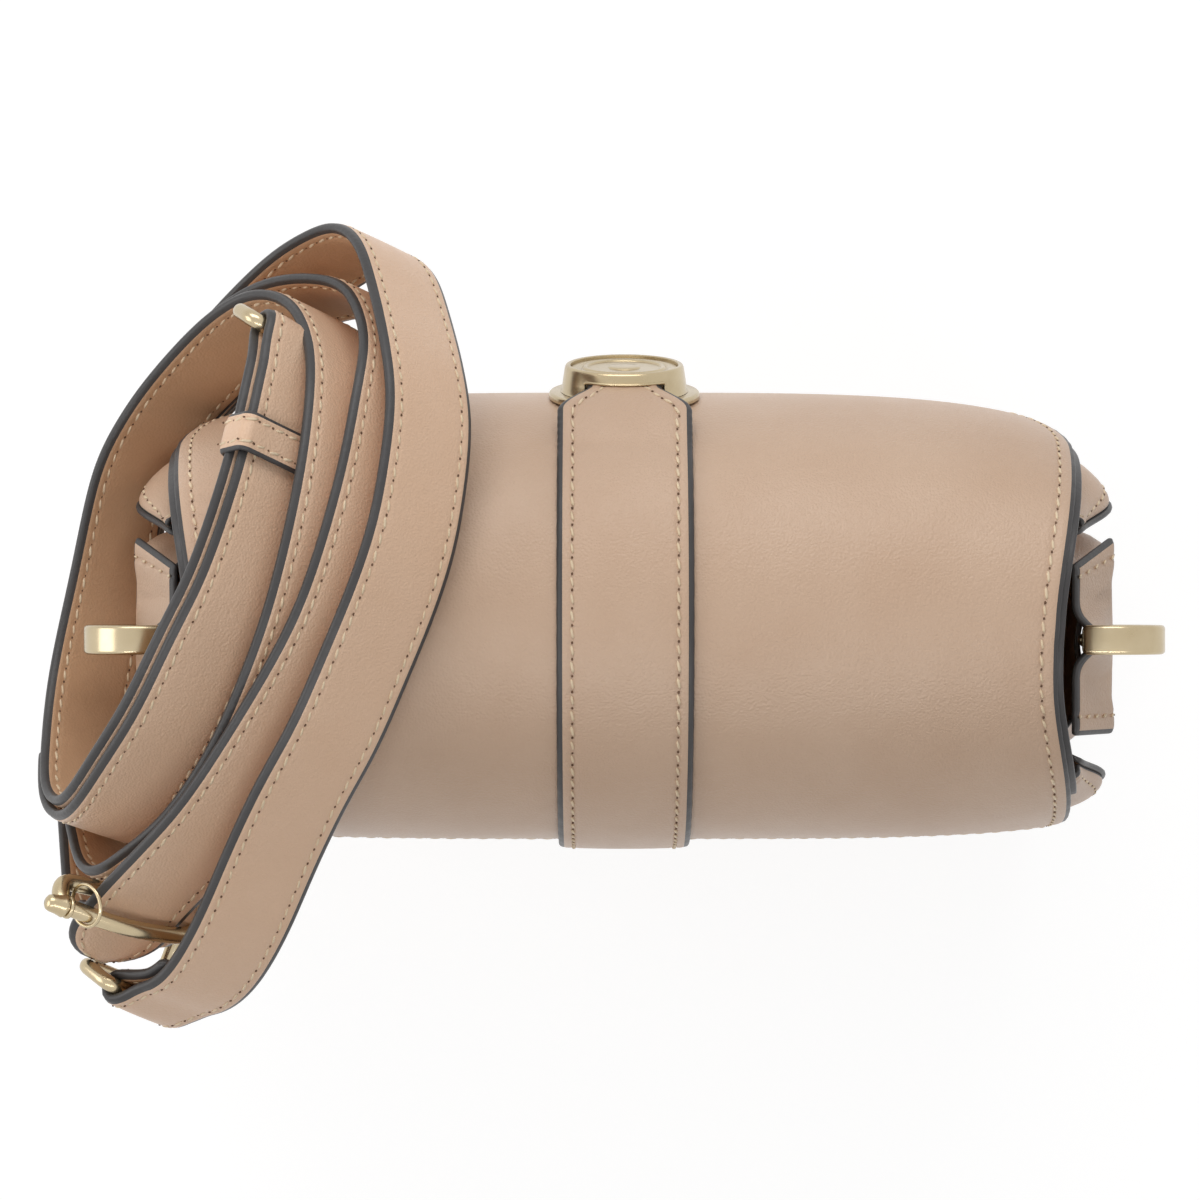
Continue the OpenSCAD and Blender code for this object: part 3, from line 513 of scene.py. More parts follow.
# %% Flap lining, a little wider so that its painted edge shows
LINING_WIDER = 1.7
lining_s = np.concatenate([np.linspace(s_on_back(136), s_on_front(CORNER_Z), 70),
                           s_on_front(CORNER_Z - (CORNER_Z - TIP_Z + LINING_WIDER)
                                      * np.sin(np.radians(np.linspace(2, 89.4, 60))))])
z_rows = np.interp(lining_s, profile_s, profile[:, 1])
ny_rows = np.interp(lining_s, profile_s, profile_n[:, 0])
down = np.clip((CORNER_Z - z_rows) / (CORNER_Z - TIP_Z + LINING_WIDER), 0, 1)
halves = (waisted(ny_rows) + LINING_WIDER) * np.where(lining_s > top_s, np.sqrt(1 - down ** 2), 1)
lining_x = np.array([columns(h, 30) for h in halves])
lining_rows = np.repeat(lining_s[:, None], lining_x.shape[1], 1)
flap_lining = leather_sheet("flap_lining_leather", flap_at(lining_rows, lining_x, -FLAP_T - SEAT),
                            flap_at(lining_rows, lining_x, -FLAP_T - SEAT - FLAP_LINING_T),
                            (edge_paint, edge_paint, tan_back_and_painted_light))

# %% [markdown]
# ## The belt
# The belt is sewn to the back, lies on the flap, leaves it in a soft curve, narrows and enters the
# lock's slot. Its face is slightly crowned, since it has a filler between two layers of leather.
# The lock's own directions are needed first, since the tip of the belt follows them.

# %% Directions of the lock
LOCK_AT = np.array([0.0, *dome_point(np.array([17.8]))[0]])
gy = -(abs(LOCK_AT[1]) / DEPTH_HALF) ** (DOME_P - 1) / DEPTH_HALF
gz = ((LOCK_AT[2] - BULGE_Z) / DOME_H) ** (DOME_P - 1) / DOME_H
LOCK_OUT = unit([0, gy, gz])
LOCK_UP = np.array([0, LOCK_OUT[2], -LOCK_OUT[1]])
print("lock stands out towards", [round(float(c), 3) for c in LOCK_OUT])


def on_lock(x, y, z):
    return LOCK_AT + np.array([x, 0, 0]) + LOCK_UP * y + LOCK_OUT * z


# %% Path of the belt's tip
BELT_HALF, BELT_T, BELT_BACK_Z = 16.0, 2.2, 60.0
BELT_TIP_HALF = 8.4
BACK_INSET = FLAP_T + 0.3
leave_s = profile_s[np.argmin(np.linalg.norm(profile - dome_point(np.array([48.0]))[0], axis=1))]
leave = flap_at(leave_s, 0.0, SEAT)
ahead = unit(flap_at(leave_s + 1, 0.0, SEAT) - leave)
bend = [leave, leave + 6 * ahead, on_lock(0, 23.5, 3.6), on_lock(0, 10.9, 3.6)]
t = np.linspace(0, 1, 200)[:, None]
tip_path = bend[0] * (1 - t) ** 3 + 3 * bend[1] * t * (1 - t) ** 2 + 3 * bend[2] * t ** 2 * (
    1 - t) + bend[3] * t ** 3
tip_far = run_length(tip_path)
tip_ahead = unit(np.gradient(tip_path, axis=0))
tip_up = np.stack([0 * t[:, 0], tip_ahead[:, 2], -tip_ahead[:, 1]], 1)
tip_s = leave_s + tip_far[-1]
print("free length of the belt's tip in mm:", round(float(tip_far[-1]), 1))


def belt_at(s, x, h):
    """A point of the belt, on the flap first and on the free curve of its tip after that."""
    s, x, h = np.broadcast_arrays(np.asarray(s, float), x, h)
    free = s - leave_s
    point, up = (np.stack([np.interp(free, tip_far, a[:, k]) for k in range(3)], -1)
                 for a in (tip_path, tip_up))
    curve = point + up * h[..., None]
    curve[..., 0] += x
    return np.where((free > 0)[..., None], curve, flap_at(s, x, SEAT + h))


def belt_up(s, x, h):
    ahead = belt_at(s + 0.5, x, h) - belt_at(s - 0.5, x, h)
    return unit(np.cross(ahead, [1.0, 0, 0]))


# %% Belt
belt_s = np.concatenate([np.linspace(s_on_back(BELT_BACK_Z), leave_s, 130),
                         np.linspace(leave_s, tip_s, 44)[1:]])
rise = np.clip(((belt_s - leave_s) / (tip_s - leave_s) - 0.5) / 0.4, 0, 1)
belt_halves = mix(BELT_HALF, BELT_TIP_HALF, rise ** 2 * (3 - 2 * rise))
belt_lift = -BACK_INSET / (1 + np.exp((belt_s - s_on_back(FLAP_BACK_Z) + 1.2) / 0.7))
belt_x = np.array([columns(h, 16) for h in belt_halves])
belt_rows = np.repeat(belt_s[:, None], belt_x.shape[1], 1)
belt_outline = outline_of(belt_s, belt_halves)
flat = np.stack([belt_rows.ravel(), belt_x.ravel()], 1)
sink = groove(edge_distance(flat, belt_outline), BELT_SEAM).reshape(belt_x.shape)
crown = 0.35 * (1 - (belt_x / BELT_HALF) ** 2)
belt = leather_sheet("belt_leather",
                     belt_at(belt_rows, belt_x, belt_lift[:, None] + BELT_T + crown - sink),
                     belt_at(belt_rows, belt_x, belt_lift[:, None] + 0 * belt_x))
seam = inset_line(belt_outline, BELT_SEAM)
seam = np.roll(seam, -int(np.argmax(seam[:, 0])), 0)
seam = seam[np.abs(seam[:, 0] - tip_s) > 3.5]
seam_lift = np.interp(seam[:, 0], belt_s, belt_lift) + BELT_T + 0.05
sew("flap", belt_at(seam[:, 0], seam[:, 1], seam_lift), belt_up(seam[:, 0], seam[:, 1], seam_lift))

# %% [markdown]
# ## Body panels and gussets
# Two panels wrap round the front and back corners of the body and end in upright seams. Between
# them each side has a gusset that folds inwards in two valleys. Panels and gusset share the seam,
# so two painted edges lie side by side there.

# %% Sides of the body
SIDE_HALF, SIDE_WIDEST_Z, SEAM_TOP_Z = 121.0, 77.0, 140.0
PLAN_P, BODY_T, BASE_T, MOUTH_Z = 3.0, 1.6, 3.0, 132.0
FRONT_INSET = FLAP_T + SEAT + FLAP_LINING_T + 3.2
TOP_CORNER, BODY_SEAM = 9.0, 3.2


def side_at(z):
    z = np.asarray(z, float)
    low = SIDE_HALF - 1.5 * ((SIDE_WIDEST_Z - z) / SIDE_WIDEST_Z) ** 2
    high = SIDE_HALF - 0.5 * ((z - SIDE_WIDEST_Z) / (SEAM_TOP_Z - SIDE_WIDEST_Z)) ** 2
    return np.where(z < SIDE_WIDEST_Z, low, high)


def ramp_up(z, low, high):
    share = np.clip((np.asarray(z, float) - low) / (high - low), 0, 1)
    return share ** 2 * (3 - 2 * share)


def seam_y(z, front):
    share = np.asarray(z, float) / SEAM_TOP_Z
    round_off = 3.5 * np.exp(-((np.asarray(z, float) - 98) / 18) ** 2)
    if front:
        return mix(36, 25, share) - 3 * ramp_up(z, 104, 140) + round_off
    return mix(43, 37, share ** 3) + round_off


def corner_drop(edge):
    """How far a rounded top corner lies below its edge, from the distance to the seam."""
    near = np.clip(TOP_CORNER - edge, 0, None)
    return TOP_CORNER - np.sqrt(np.clip(TOP_CORNER ** 2 - near ** 2, 0, None))


def swell(z, front):
    """How far the soft edges of a seam lie outwards: they swell out, then curl to the mouth."""
    most = 5.4 if front else 3.6
    return most * np.exp(-((np.asarray(z, float) - 109) / 13) ** 2) - 5 * ramp_up(z, 112, 138)


def plan_point(angle, z, front, t):
    """A point of a panel's plan: angle 0 and 180 are its two seams."""
    c, s = np.cos(np.radians(angle)), np.abs(np.sin(np.radians(angle)))
    seam = seam_y(z, front)
    deep = half_depth(z) - (FRONT_INSET if front else BACK_INSET) - t
    y = seam + (deep - seam) * s ** (2 / PLAN_P)
    x = (side_at(z) - t) * spow(c, 2 / PLAN_P)
    near_seam = np.exp(-((y - seam) / (8 if front else 6)) ** 2)
    if front:
        lean = 0.7 * ramp_up(z, 102, 136) * ramp_up(np.abs(x), 92, 112)
        y = seam + (y - seam) * (1 - lean)
    x = x + np.sign(c) * swell(z, front) * near_seam
    return np.stack([-x, -y if front else y, z + 0 * y], -1)


def panel_up(angle, z, front):
    aside = plan_point(angle + 0.4, z, front, 0.0) - plan_point(angle - 0.4, z, front, 0.0)
    above = plan_point(angle, z + 0.5, front, 0.0) - plan_point(angle, z - 0.5, front, 0.0)
    up = unit(np.cross(aside, above))
    middle = plan_point(angle, z, front, 0.0) * [0.3, 1, 0]
    return np.where((up * middle).sum(-1, keepdims=True) < 0, -up, up)


def even_angles(count, front):
    """Angles that give even steps along the plan, and crowd at both seams."""
    fine = np.linspace(0, 180, 6001)
    path = plan_point(fine, np.full_like(fine, 90.0), front, 0)
    far = run_length(path)
    wanted = columns(far[-1] / 2, count) + far[-1] / 2
    return np.interp(wanted, far, fine), wanted, far[-1]


def body_panel(name, front):
    angles, walk, whole = even_angles(90, front)
    edge = np.minimum(walk, whole - walk)
    top = MOUTH_Z + 8 * np.abs(np.cos(np.radians(angles))) ** 4
    top = top - corner_drop(edge)
    share = np.concatenate([np.linspace(0, 0.93, 60), 1 - MARGIN[::-1][1:] / 128])
    z = BASE_T + SEAT + share[:, None] * (top - BASE_T - SEAT)[None, :]
    angle = np.repeat(angles[None, :], len(z), 0)
    to_top = (1 - share[:, None]) * (top - BASE_T)[None, :]
    sink = groove(np.minimum(edge[None, :] + 0 * z, to_top), BODY_SEAM)
    outer = plan_point(angle, z, front, sink)
    inner = plan_point(angle, z, front, BODY_T)
    panel = leather_sheet(name, outer, inner, (satin_leather, edge_paint, satin_leather))
    for side in (0, 1):
        here = walk[int(np.argmin(np.abs(edge - BODY_SEAM)[:len(edge) // 2]))]
        a = np.interp(here if side == 0 else whole - here, walk, angles)
        z_line = np.linspace(6, SEAM_TOP_Z - 6.5, 60)
        angle_line = np.full_like(z_line, a)
        sew("root", plan_point(angle_line, z_line, front, 0.25),
            panel_up(angle_line, z_line, front))
    keep = edge > TOP_CORNER
    a, z_line = angles[keep], top[keep] - BODY_SEAM
    sew("root", plan_point(a, z_line, front, 0.25), panel_up(a, z_line, front))
    return panel


front_panel = body_panel("front_panel_leather", True)
back_panel = body_panel("back_panel_leather", False)

# %% Gussets with their two valleys
VALLEY, MIDDLE_IN, GUSSET_DIP = 10.5, 5.5, 14.0
GUSSET_SWELL = 11.0


def smooth_columns(points, per):
    """A Catmull-Rom curve through the columns of an array of points."""
    points = np.asarray(points, float)
    first, last = 2 * points[:1] - points[1:2], 2 * points[-1:] - points[-2:-1]
    p = np.concatenate([first, points, last])
    t = np.arange(per)[:, None, None] / per if points.ndim > 2 else np.arange(per)[:, None] / per
    out = []
    for i in range(1, len(p) - 2):
        a, b, c, d = p[i - 1], p[i], p[i + 1], p[i + 2]
        out.append(0.5 * (2 * b + (c - a) * t + (2 * a - 5 * b + 4 * c - d) * t ** 2
                          + (3 * b - a - 3 * c + d) * t ** 3))
    return np.concatenate(out + [points[-1:]])


def gusset_plan(z, t):
    w, f, b = float(side_at(z)), -float(seam_y(z, True)), float(seam_y(z, False))
    h = SEAT + BODY_T / 2
    full = math.exp(-((z - 108) / 18) ** 2)
    flank = w - mix(VALLEY, MIDDLE_IN, 0.7) - t + GUSSET_SWELL * full
    ahead, behind = float(swell(z, True)), float(swell(z, False))
    return np.array([[w - SEAT + ahead, f + h - t],
                     [w - VALLEY / 2 + 0.45 * ahead, f + h + VALLEY / 8 - t],
                     [w - VALLEY - t * 0.8, f + VALLEY / 2 - t * 0.6],
                     [flank, f + (b - f) * (0.28 - 0.1 * full)],
                     [w - MIDDLE_IN - t + 1.8 * full, (f + b) / 2],
                     [flank, b - (b - f) * 0.28],
                     [w - VALLEY - t * 0.8, b - VALLEY / 2 + t * 0.6],
                     [w - VALLEY / 2 + 0.45 * behind, b - h - VALLEY / 8 + t],
                     [w - SEAT + behind, b - h + t]])


def gusset(name, side):
    per = 6
    count = 8 * per + 1
    across = np.arange(count) / per
    edge = np.minimum(across, 8 - across) * 5.2
    top = SEAM_TOP_Z - GUSSET_DIP * np.sin(np.pi * across / 8)
    top = top - corner_drop(edge)
    share = np.concatenate([np.linspace(0, 0.95, 46), [0.965, 0.98, 0.99, 1.0]])
    grids = []
    for t in (-BODY_T / 2, BODY_T / 2):
        grid = np.empty((len(share), count, 3))
        for i, v in enumerate(share):
            for j in range(count):
                z = BASE_T + SEAT + v * (top[j] - BASE_T - SEAT)
                grid[i, j] = (*smooth_columns(gusset_plan(z, t), per)[j], z)
        grid[..., 0] *= side
        grids.append(grid)
    return leather_sheet(name, grids[0], grids[1])


gusset_left = gusset("gusset_left_leather", 1)
gusset_right = gusset("gusset_right_leather", -1)

# %% [markdown]
# ## Ring strips and rings
# A strip of leather is sewn flat to each gusset and rises over the ring's straight bar. It leans
# outwards with the soft side of the bag.

# %% Frame of a side
RING_Y, RING_Z, SIDE_LEAN, BAR_X = 6.0, 128.0, 15.0, 119.4
TAB_H, TAB_L, TAB_T, TAB_MID, TAB_BACK = 20.0, 49.0, 2.0, -1.0, 3.7
HUMP, STRIP_SEAM = 1.95 + TAB_T, 4.2


def on_side(side, local):
    """Local x outwards, y to the back and z up along the leaning side."""
    local = np.asarray(local, float)
    a = math.radians(-SIDE_LEAN)
    x = local[..., 0] * math.cos(a) + local[..., 2] * math.sin(a)
    z = -local[..., 0] * math.sin(a) + local[..., 2] * math.cos(a)
    return np.stack([side * (BAR_X + x), RING_Y + local[..., 1], RING_Z + z], -1)


def ring_strip(name, side):
    y = np.concatenate([TAB_MID - TAB_L / 2 + MARGIN[:9], np.linspace(-20, 18, 70),
                        TAB_MID + TAB_L / 2 - MARGIN[:9][::-1]])
    z = np.concatenate([TAB_H / 2 - MARGIN[:6], np.linspace(6.5, -6.5, 14),
                        -TAB_H / 2 + MARGIN[:6][::-1]])
    yy, zz = np.meshgrid(y, z, indexing="ij")
    end = np.minimum(yy - y[0], y[-1] - yy)
    long_edge = np.minimum(zz - z[-1], z[0] - zz)
    low = np.clip((TAB_H / 2 - zz) / TAB_H, 0, 1)
    hump = (HUMP + TAB_BACK - TAB_T) * np.exp(-(np.abs(yy) / (4.8 + 4.4 * low)) ** 2.4)
    ends = 0.7 * ramp_up(np.abs(yy), 14, 20)
    flare = low * (5.6 + ends - hump + 0.3 * np.exp(-(yy / 15) ** 2))
    yy = yy + 7.0 * (1 - low) * np.clip((-8 - yy) / 17, 0, 1)
    crease = 0.35 * np.exp(-((yy - 9.5) / 1.6) ** 2) + 0.3 * np.exp(-((yy + 10.5) / 1.8) ** 2)
    crease = crease * np.clip(long_edge / 4, 0, 1)
    level = TAB_T - TAB_BACK + hump + flare - crease
    sink = groove(end, STRIP_SEAM) + 0.25 * np.clip(1 - long_edge / 1.3, 0, 1) ** 2
    slope = np.gradient(level, axis=0) / np.maximum(np.gradient(yy, axis=0), 0.05)
    back_shift = TAB_T / np.sqrt(1 + slope ** 2)
    face = np.stack([level - sink, yy, zz], -1)
    back = np.stack([level - back_shift, yy + TAB_T * slope / np.sqrt(1 + slope ** 2), zz], -1)
    strip = leather_sheet(name, on_side(side, face), on_side(side, back), painted=(1, 1))
    for at in (y[0] + STRIP_SEAM, y[-1] - STRIP_SEAM):
        k = int(np.argmin(np.abs(y - at)))
        line = on_side(side, face[k, 2:-2] + [0.1, 0, 0])
        sew("root", line, np.repeat([[side, 0, 0.3]], len(line), 0))
    return strip


tab_left = ring_strip("ring_strip_left", 1)
tab_right = ring_strip("ring_strip_right", -1)

# %% [markdown]
# Metal parts are turned or bent from rod. A tube that follows a path, a band with rounded corners
# and a turned profile cover all of them.

# %% Tubes, bands and turned parts
def fillet(corners, radius, closed=False, steps=7):
    """A path through corners, each rounded by a small arc."""
    p = [np.asarray(c, float) for c in corners]
    n, out = len(p), []
    for i in range(n):
        if not closed and i in (0, n - 1):
            out.append(p[i])
            continue
        a, b, c = p[i - 1], p[i], p[(i + 1) % n]
        cut = min(radius, 0.45 * np.linalg.norm(a - b), 0.45 * np.linalg.norm(c - b))
        start, end = b + unit(a - b) * cut, b + unit(c - b) * cut
        for k in range(steps + 1):
            t = k / steps
            out.append(start * (1 - t) ** 2 + 2 * b * t * (1 - t) + end * t ** 2)
    return np.array(out)


def frames_along(path, closed, start=None):
    """A pair of directions square to the path that doesn't twist from point to point."""
    ahead = unit(np.roll(path, -1, 0) - np.roll(path, 1, 0))
    if not closed:
        ahead[0], ahead[-1] = unit(path[1] - path[0]), unit(path[-1] - path[-2])
    first = np.array([0.3, 0.9, 0.2]) if start is None else np.asarray(start, float)
    u = []
    for t in ahead:
        first = unit(first - t * (first @ t))
        u.append(first)
    return ahead, np.array(u), np.cross(ahead, np.array(u))


def sweep(path, section, closed=False, start=None, caps=True, scale=None):
    """Points and faces of a section, given as pairs, carried along a path."""
    path, section = np.asarray(path, float), np.asarray(section, float)
    _, u, v = frames_along(path, closed, start)
    scale = np.ones(len(path)) if scale is None else np.asarray(scale, float)
    points = (path[:, None, :] + section[None, :, :1] * u[:, None, :] * scale[:, None, None]
              + section[None, :, 1:] * v[:, None, :] * scale[:, None, None]).reshape(-1, 3)
    n, m = len(path), len(section)
    faces = []
    for i in range(n if closed else n - 1):
        k = (i + 1) % n
        for j in range(m):
            q = (j + 1) % m
            faces.append([i * m + j, i * m + q, k * m + q, k * m + j])
    if caps and not closed:
        faces.append(list(range(m))[::-1])
        faces.append(list(range((n - 1) * m, n * m)))
    return points, faces


def circle(radius, sides=20):
    a = np.linspace(0, 2 * np.pi, sides, endpoint=False)
    return np.stack([radius * np.cos(a), radius * np.sin(a)], 1)


def rod(path, radius, closed=False, sides=20, round_ends=True):
    """A round rod whose ends are domed."""
    path = np.asarray(path, float)
    if closed or not round_ends:
        return sweep(path, circle(radius, sides), closed)
    a = np.linspace(0, np.pi / 2, 6)[:-1]
    t0, t1 = unit(path[0] - path[1]), unit(path[-1] - path[-2])
    head = [path[0] + t0 * radius * math.cos(k) for k in a]
    tail = [path[-1] + t1 * radius * math.cos(k) for k in a[::-1]]
    scale = np.concatenate([np.sin(a) + 0.02, np.ones(len(path)), np.sin(a[::-1]) + 0.02])
    return sweep(np.concatenate([head, path, tail]), circle(radius, sides), scale=scale)


def turned(profile_rz, origin=(0, 0, 0), axis=(0, 0, 1), sides=96):
    """A closed profile of radius and height pairs, turned about an axis."""
    axis = unit(axis)
    u = unit(np.cross(axis, [0.1, 0.2, 0.97] if abs(axis[2]) < 0.9 else [1, 0, 0]))
    v = np.cross(axis, u)
    a = np.linspace(0, 2 * np.pi, sides, endpoint=False)
    ring = np.cos(a)[:, None] * u + np.sin(a)[:, None] * v
    points = np.concatenate([np.asarray(origin) + ring * r + axis * z for r, z in profile_rz])
    n, faces = len(profile_rz), []
    for i in range(n - 1):
        for j in range(sides):
            k = (j + 1) % sides
            faces.append([i * sides + j, i * sides + k, (i + 1) * sides + k, (i + 1) * sides + j])
    if profile_rz[0][0] > 0.01 and profile_rz[0] != profile_rz[-1]:
        faces.append(list(range(sides))[::-1])
        faces.append(list(range((n - 1) * sides, n * sides)))
    return points, faces


def gather(name, parts, finishes, sharp=None):
    """One piece from several sets of points and faces."""
    points, faces, count = [], [], 0
    for p, f in parts:
        points.append(p)
        faces += [[k + count for k in q] for q in f]
        count += len(p)
    return make_piece(name, np.concatenate(points), faces, finishes, sharp=sharp)


# %% Side rings
RING_BAND, RING_T, RING_REACH, RING_H, BAR_R = 7.5, 3.0, 18.6, 28.0, 1.9


def rounded_box(wide, thick, radius, steps=5):
    out = []
    for cx, cy, start in ((1, 1, 0), (-1, 1, 90), (-1, -1, 180), (1, -1, 270)):
        for k in range(steps + 1):
            a = math.radians(start + 90 * k / steps)
            out.append([cx * (wide / 2 - radius) + radius * math.cos(a),
                        cy * (thick / 2 - radius) + radius * math.sin(a)])
    return np.array(out)


def side_ring(name, side):
    r = (RING_H - RING_T) / 2
    centre = RING_REACH - RING_H / 2
    a = np.radians(np.linspace(90, -90, 60))
    bend = np.stack([centre + r * np.cos(a), 0 * a, r * np.sin(a)], 1)
    path = np.concatenate([[[0.6, 0, r], [2.4, 0, r]], bend, [[2.4, 0, -r], [0.6, 0, -r]]])
    ends = np.concatenate([[[-0.55, 0, r], [-0.2, 0, r]], path, [[-0.2, 0, -r], [-0.55, 0, -r]]])
    size = np.concatenate([[0.72, 0.93], np.ones(len(path)), [0.93, 0.72]])
    world = on_side(side, ends)
    band = sweep(world, rounded_box(RING_BAND, RING_T, 1.0), start=(0, 1, 0), scale=size)
    bar = rod(on_side(side, [[0, 0, 1.2 - r], [0, 0, 0], [0, 0, r - 1.2]]), BAR_R)
    return gather(name, [band, bar], [pale_gold], sharp=50)


ring_left = side_ring("side_ring_left", 1)
ring_right = side_ring("side_ring_right", -1)

# %% [markdown]
# ## The lock
# A turned flange and a drum hold a slot for the belt's tip. Its face carries plain rings. The
# slot is cut with a Boolean modifier, and a thin bright frame runs round its mouth.

# %% Lock
FLANGE_R, DRUM_R, FACE_R, FLANGE_T, LOCK_H, SLOT_W = 19.4, 16.1, 15.2, 2.0, 9.0, 20.6
flange = gather("lock_flange_gold", [turned(
    [(8.0, SEAT), (FLANGE_R - 0.25, SEAT), (FLANGE_R, SEAT + 0.25), (FLANGE_R, 1.35),
     (FLANGE_R - 0.12, 1.65), (FLANGE_R - 0.4, 1.9), (FLANGE_R - 0.8, FLANGE_T),
     (8.0, FLANGE_T), (8.0, SEAT)], LOCK_AT, LOCK_OUT)], [pale_gold], sharp=40)
drum = gather("lock_drum_gold", [turned(
    [(0.001, FLANGE_T + SEAT), (DRUM_R + 0.35, FLANGE_T + SEAT), (DRUM_R, FLANGE_T + 0.5),
     (DRUM_R - 0.3, 5.0), (FACE_R + 0.12, LOCK_H - 0.9), (FACE_R, LOCK_H - 0.55),
     (FACE_R - 0.2, LOCK_H - 0.18), (FACE_R - 0.55, LOCK_H), (FACE_R - 1.1, LOCK_H),
     (FACE_R - 1.35, LOCK_H - 0.2), (FACE_R - 1.45, LOCK_H - 1.55), (0.001, LOCK_H - 1.6)],
    LOCK_AT, LOCK_OUT)], [pale_gold], sharp=40)
SLOT_Z, SLOT_H, SLOT_DEPTH = 4.6, 3.2, 6.0
cutter_path = [on_lock(0, DRUM_R - SLOT_DEPTH, SLOT_Z), on_lock(0, DRUM_R + 2, SLOT_Z)]
cutter = gather("slot_cutter", [sweep(cutter_path, rounded_box(SLOT_W, SLOT_H, 0.7),
                                      start=(1, 0, 0))], [pale_gold])
cut = drum.modifiers.new("slot", "BOOLEAN")
cut.object = cutter
cut.solver = "EXACT"
drum.data = bpy.data.meshes.new_from_object(
    drum.evaluated_get(bpy.context.evaluated_depsgraph_get()))
drum.modifiers.clear()
bpy.data.objects.remove(cutter)
drum.data.set_sharp_from_angle(angle=math.radians(35))


def slot_edge(x, z):
    r = mix(DRUM_R, FACE_R, (z - FLANGE_T) / (LOCK_H - FLANGE_T)) - 0.05
    return on_lock(x, math.sqrt(r ** 2 - x ** 2), z)


outline = fillet([[-SLOT_W / 2, SLOT_Z - SLOT_H / 2], [SLOT_W / 2, SLOT_Z - SLOT_H / 2],
                  [SLOT_W / 2, SLOT_Z + SLOT_H / 2], [-SLOT_W / 2, SLOT_Z + SLOT_H / 2]],
                  0.8, True)
fine = []
for a, b in zip(outline, np.roll(outline, -1, 0)):
    fine += [a + (b - a) * k / 6 for k in range(6)]
slot_frame = gather("lock_slot_frame", [rod([slot_edge(x, z) for x, z in fine], 0.42, True, 10)],
                    [pale_gold])
r = FACE_R - 1.5
low = LOCK_H - 1.5
face_profile = [(0.001, low), (r, low), (r, low + 0.6), (r - 0.3, low + 0.8),
                (r * 0.84, low + 0.8),
                (r * 0.82, low + 0.65), (r * 0.79, low + 0.62), (r * 0.77, low + 0.95),
                (r * 0.75, low + 1.05), (r * 0.71, low + 1.05), (r * 0.69, low + 0.95),
                (r * 0.67, low + 0.6), (r * 0.31, low + 0.6), (r * 0.29, low + 0.9),
                (r * 0.27, low + 1.0), (r * 0.1, low + 1.06), (0.001, low + 1.06)]
lock_face = gather("lock_face_gold", [turned(face_profile, LOCK_AT, LOCK_OUT)], [pale_gold],
                   sharp=35)
print("radius of the lock's drum in mm:", DRUM_R)

# %% [markdown]
# ## The wound strap
# The strap is a flat band of two glued layers, about a metre long. Its route is a smooth curve
# through points that were read from the picture, and its width stands along the axis that the
# strap is wound round. A band like this is modelled, not simulated: a cloth solver would lose its
# stiff thickness. At the hooks it folds round the eye and is sewn back to itself.

# %% Route of the strap
WINDING = unit([-0.754, 0.322, -0.573])
STRAP_HALF, STRAP_T, TAIL_LIFT, TAIL_SLIP = 12.0, 3.0, 3.4, 1.5
LONG = np.array([
    [82, -64, 157], [84, -52, 165], [88, -33, 172], [96, -8, 176], [103, 6, 175], [112, 24, 170],
    [120, 36, 163], [127, 46, 153], [132, 50, 143], [137, 48, 132], [139, 38, 120], [139, 20, 107],
    [135, -6, 99], [130, -35, 98], [122, -49, 101], [112, -60, 107], [97, -73, 119],
    [86, -78, 127], [76, -75, 139], [70, -66, 153], [68, -54, 164], [70, -31, 173], [76, -3, 176],
    [83, 17, 173], [92, 36, 167], [104, 53, 160], [116, 63, 151], [123, 68, 144], [128, 67, 135],
    [132, 59, 122], [137, 44, 108], [138, 22, 97], [135, -5, 91], [130.5, -34, 90],
    [122.5, -48, 93], [112, -60, 97], [98, -74, 106], [85, -81, 115], [72, -82, 128],
    [62, -79, 141], [57, -71, 152], [55, -62, 161], [56, -54, 167], [60, -31, 175],
    [67, -6, 179], [74, 10, 178], [86, 30, 174], [99, 49, 168], [111, 62, 161], [120, 71, 154],
    [127, 79, 147], [132, 86, 141]])
SHORT = np.array([
    [119.1, 73.4, 145], [123, 78, 141], [128, 81, 135], [132, 77, 127], [134, 69, 119],
    [136, 58, 110], [138, 44, 101], [139, 22, 90], [135, -5, 84], [131, -34, 83], [123, -48, 86],
    [112, -60, 90], [100, -73, 97], [88, -84, 106], [80, -90, 112], [71, -94, 121],
    [64, -95, 130], [58, -90, 141], [54, -79, 152], [50, -64, 165], [48, -48, 173],
    [51, -23, 180], [56, -6, 182], [63, 11, 181], [71, 29, 178], [79, 43, 174], [87, 59, 167],
    [95.5, 77.5, 159], [104, 91, 150.5], [111.5, 96.5, 144], [119, 97, 138.5]])


def strap_frames(path):
    """Directions along, across and outwards at each point of a strap's path."""
    ahead = np.empty_like(path)
    ahead[1:-1] = path[2:] - path[:-2]
    ahead[0], ahead[-1] = path[1] - path[0], path[-1] - path[-2]
    ahead = unit(ahead)
    near = np.exp(-(np.hypot(path[:, 0] - 122, path[:, 1] + 34) / 22) ** 2) * 0.35
    axis = unit(WINDING[None, :] * (1 - near[:, None]) + np.array([0, 0, -1.0]) * near[:, None])
    across = unit(axis - ahead * (ahead * axis).sum(1, keepdims=True))
    return ahead, across, np.cross(ahead, across)


coarse_long, coarse_short = smooth_columns(LONG, 3), smooth_columns(SHORT, 3)
long_dirs, short_dirs = strap_frames(coarse_long), strap_frames(coarse_short)
print("lengths of the two straps in mm:", [round(float(np.linalg.norm(np.diff(
    smooth_columns(p, 8), axis=0), axis=1).sum())) for p in (LONG, SHORT)])

# %% Band along a path with its own directions
STRAP_U = np.concatenate([-STRAP_HALF + MARGIN[:10], np.linspace(-5.5, 5.5, 8),
                          STRAP_HALF - MARGIN[:10][::-1]])


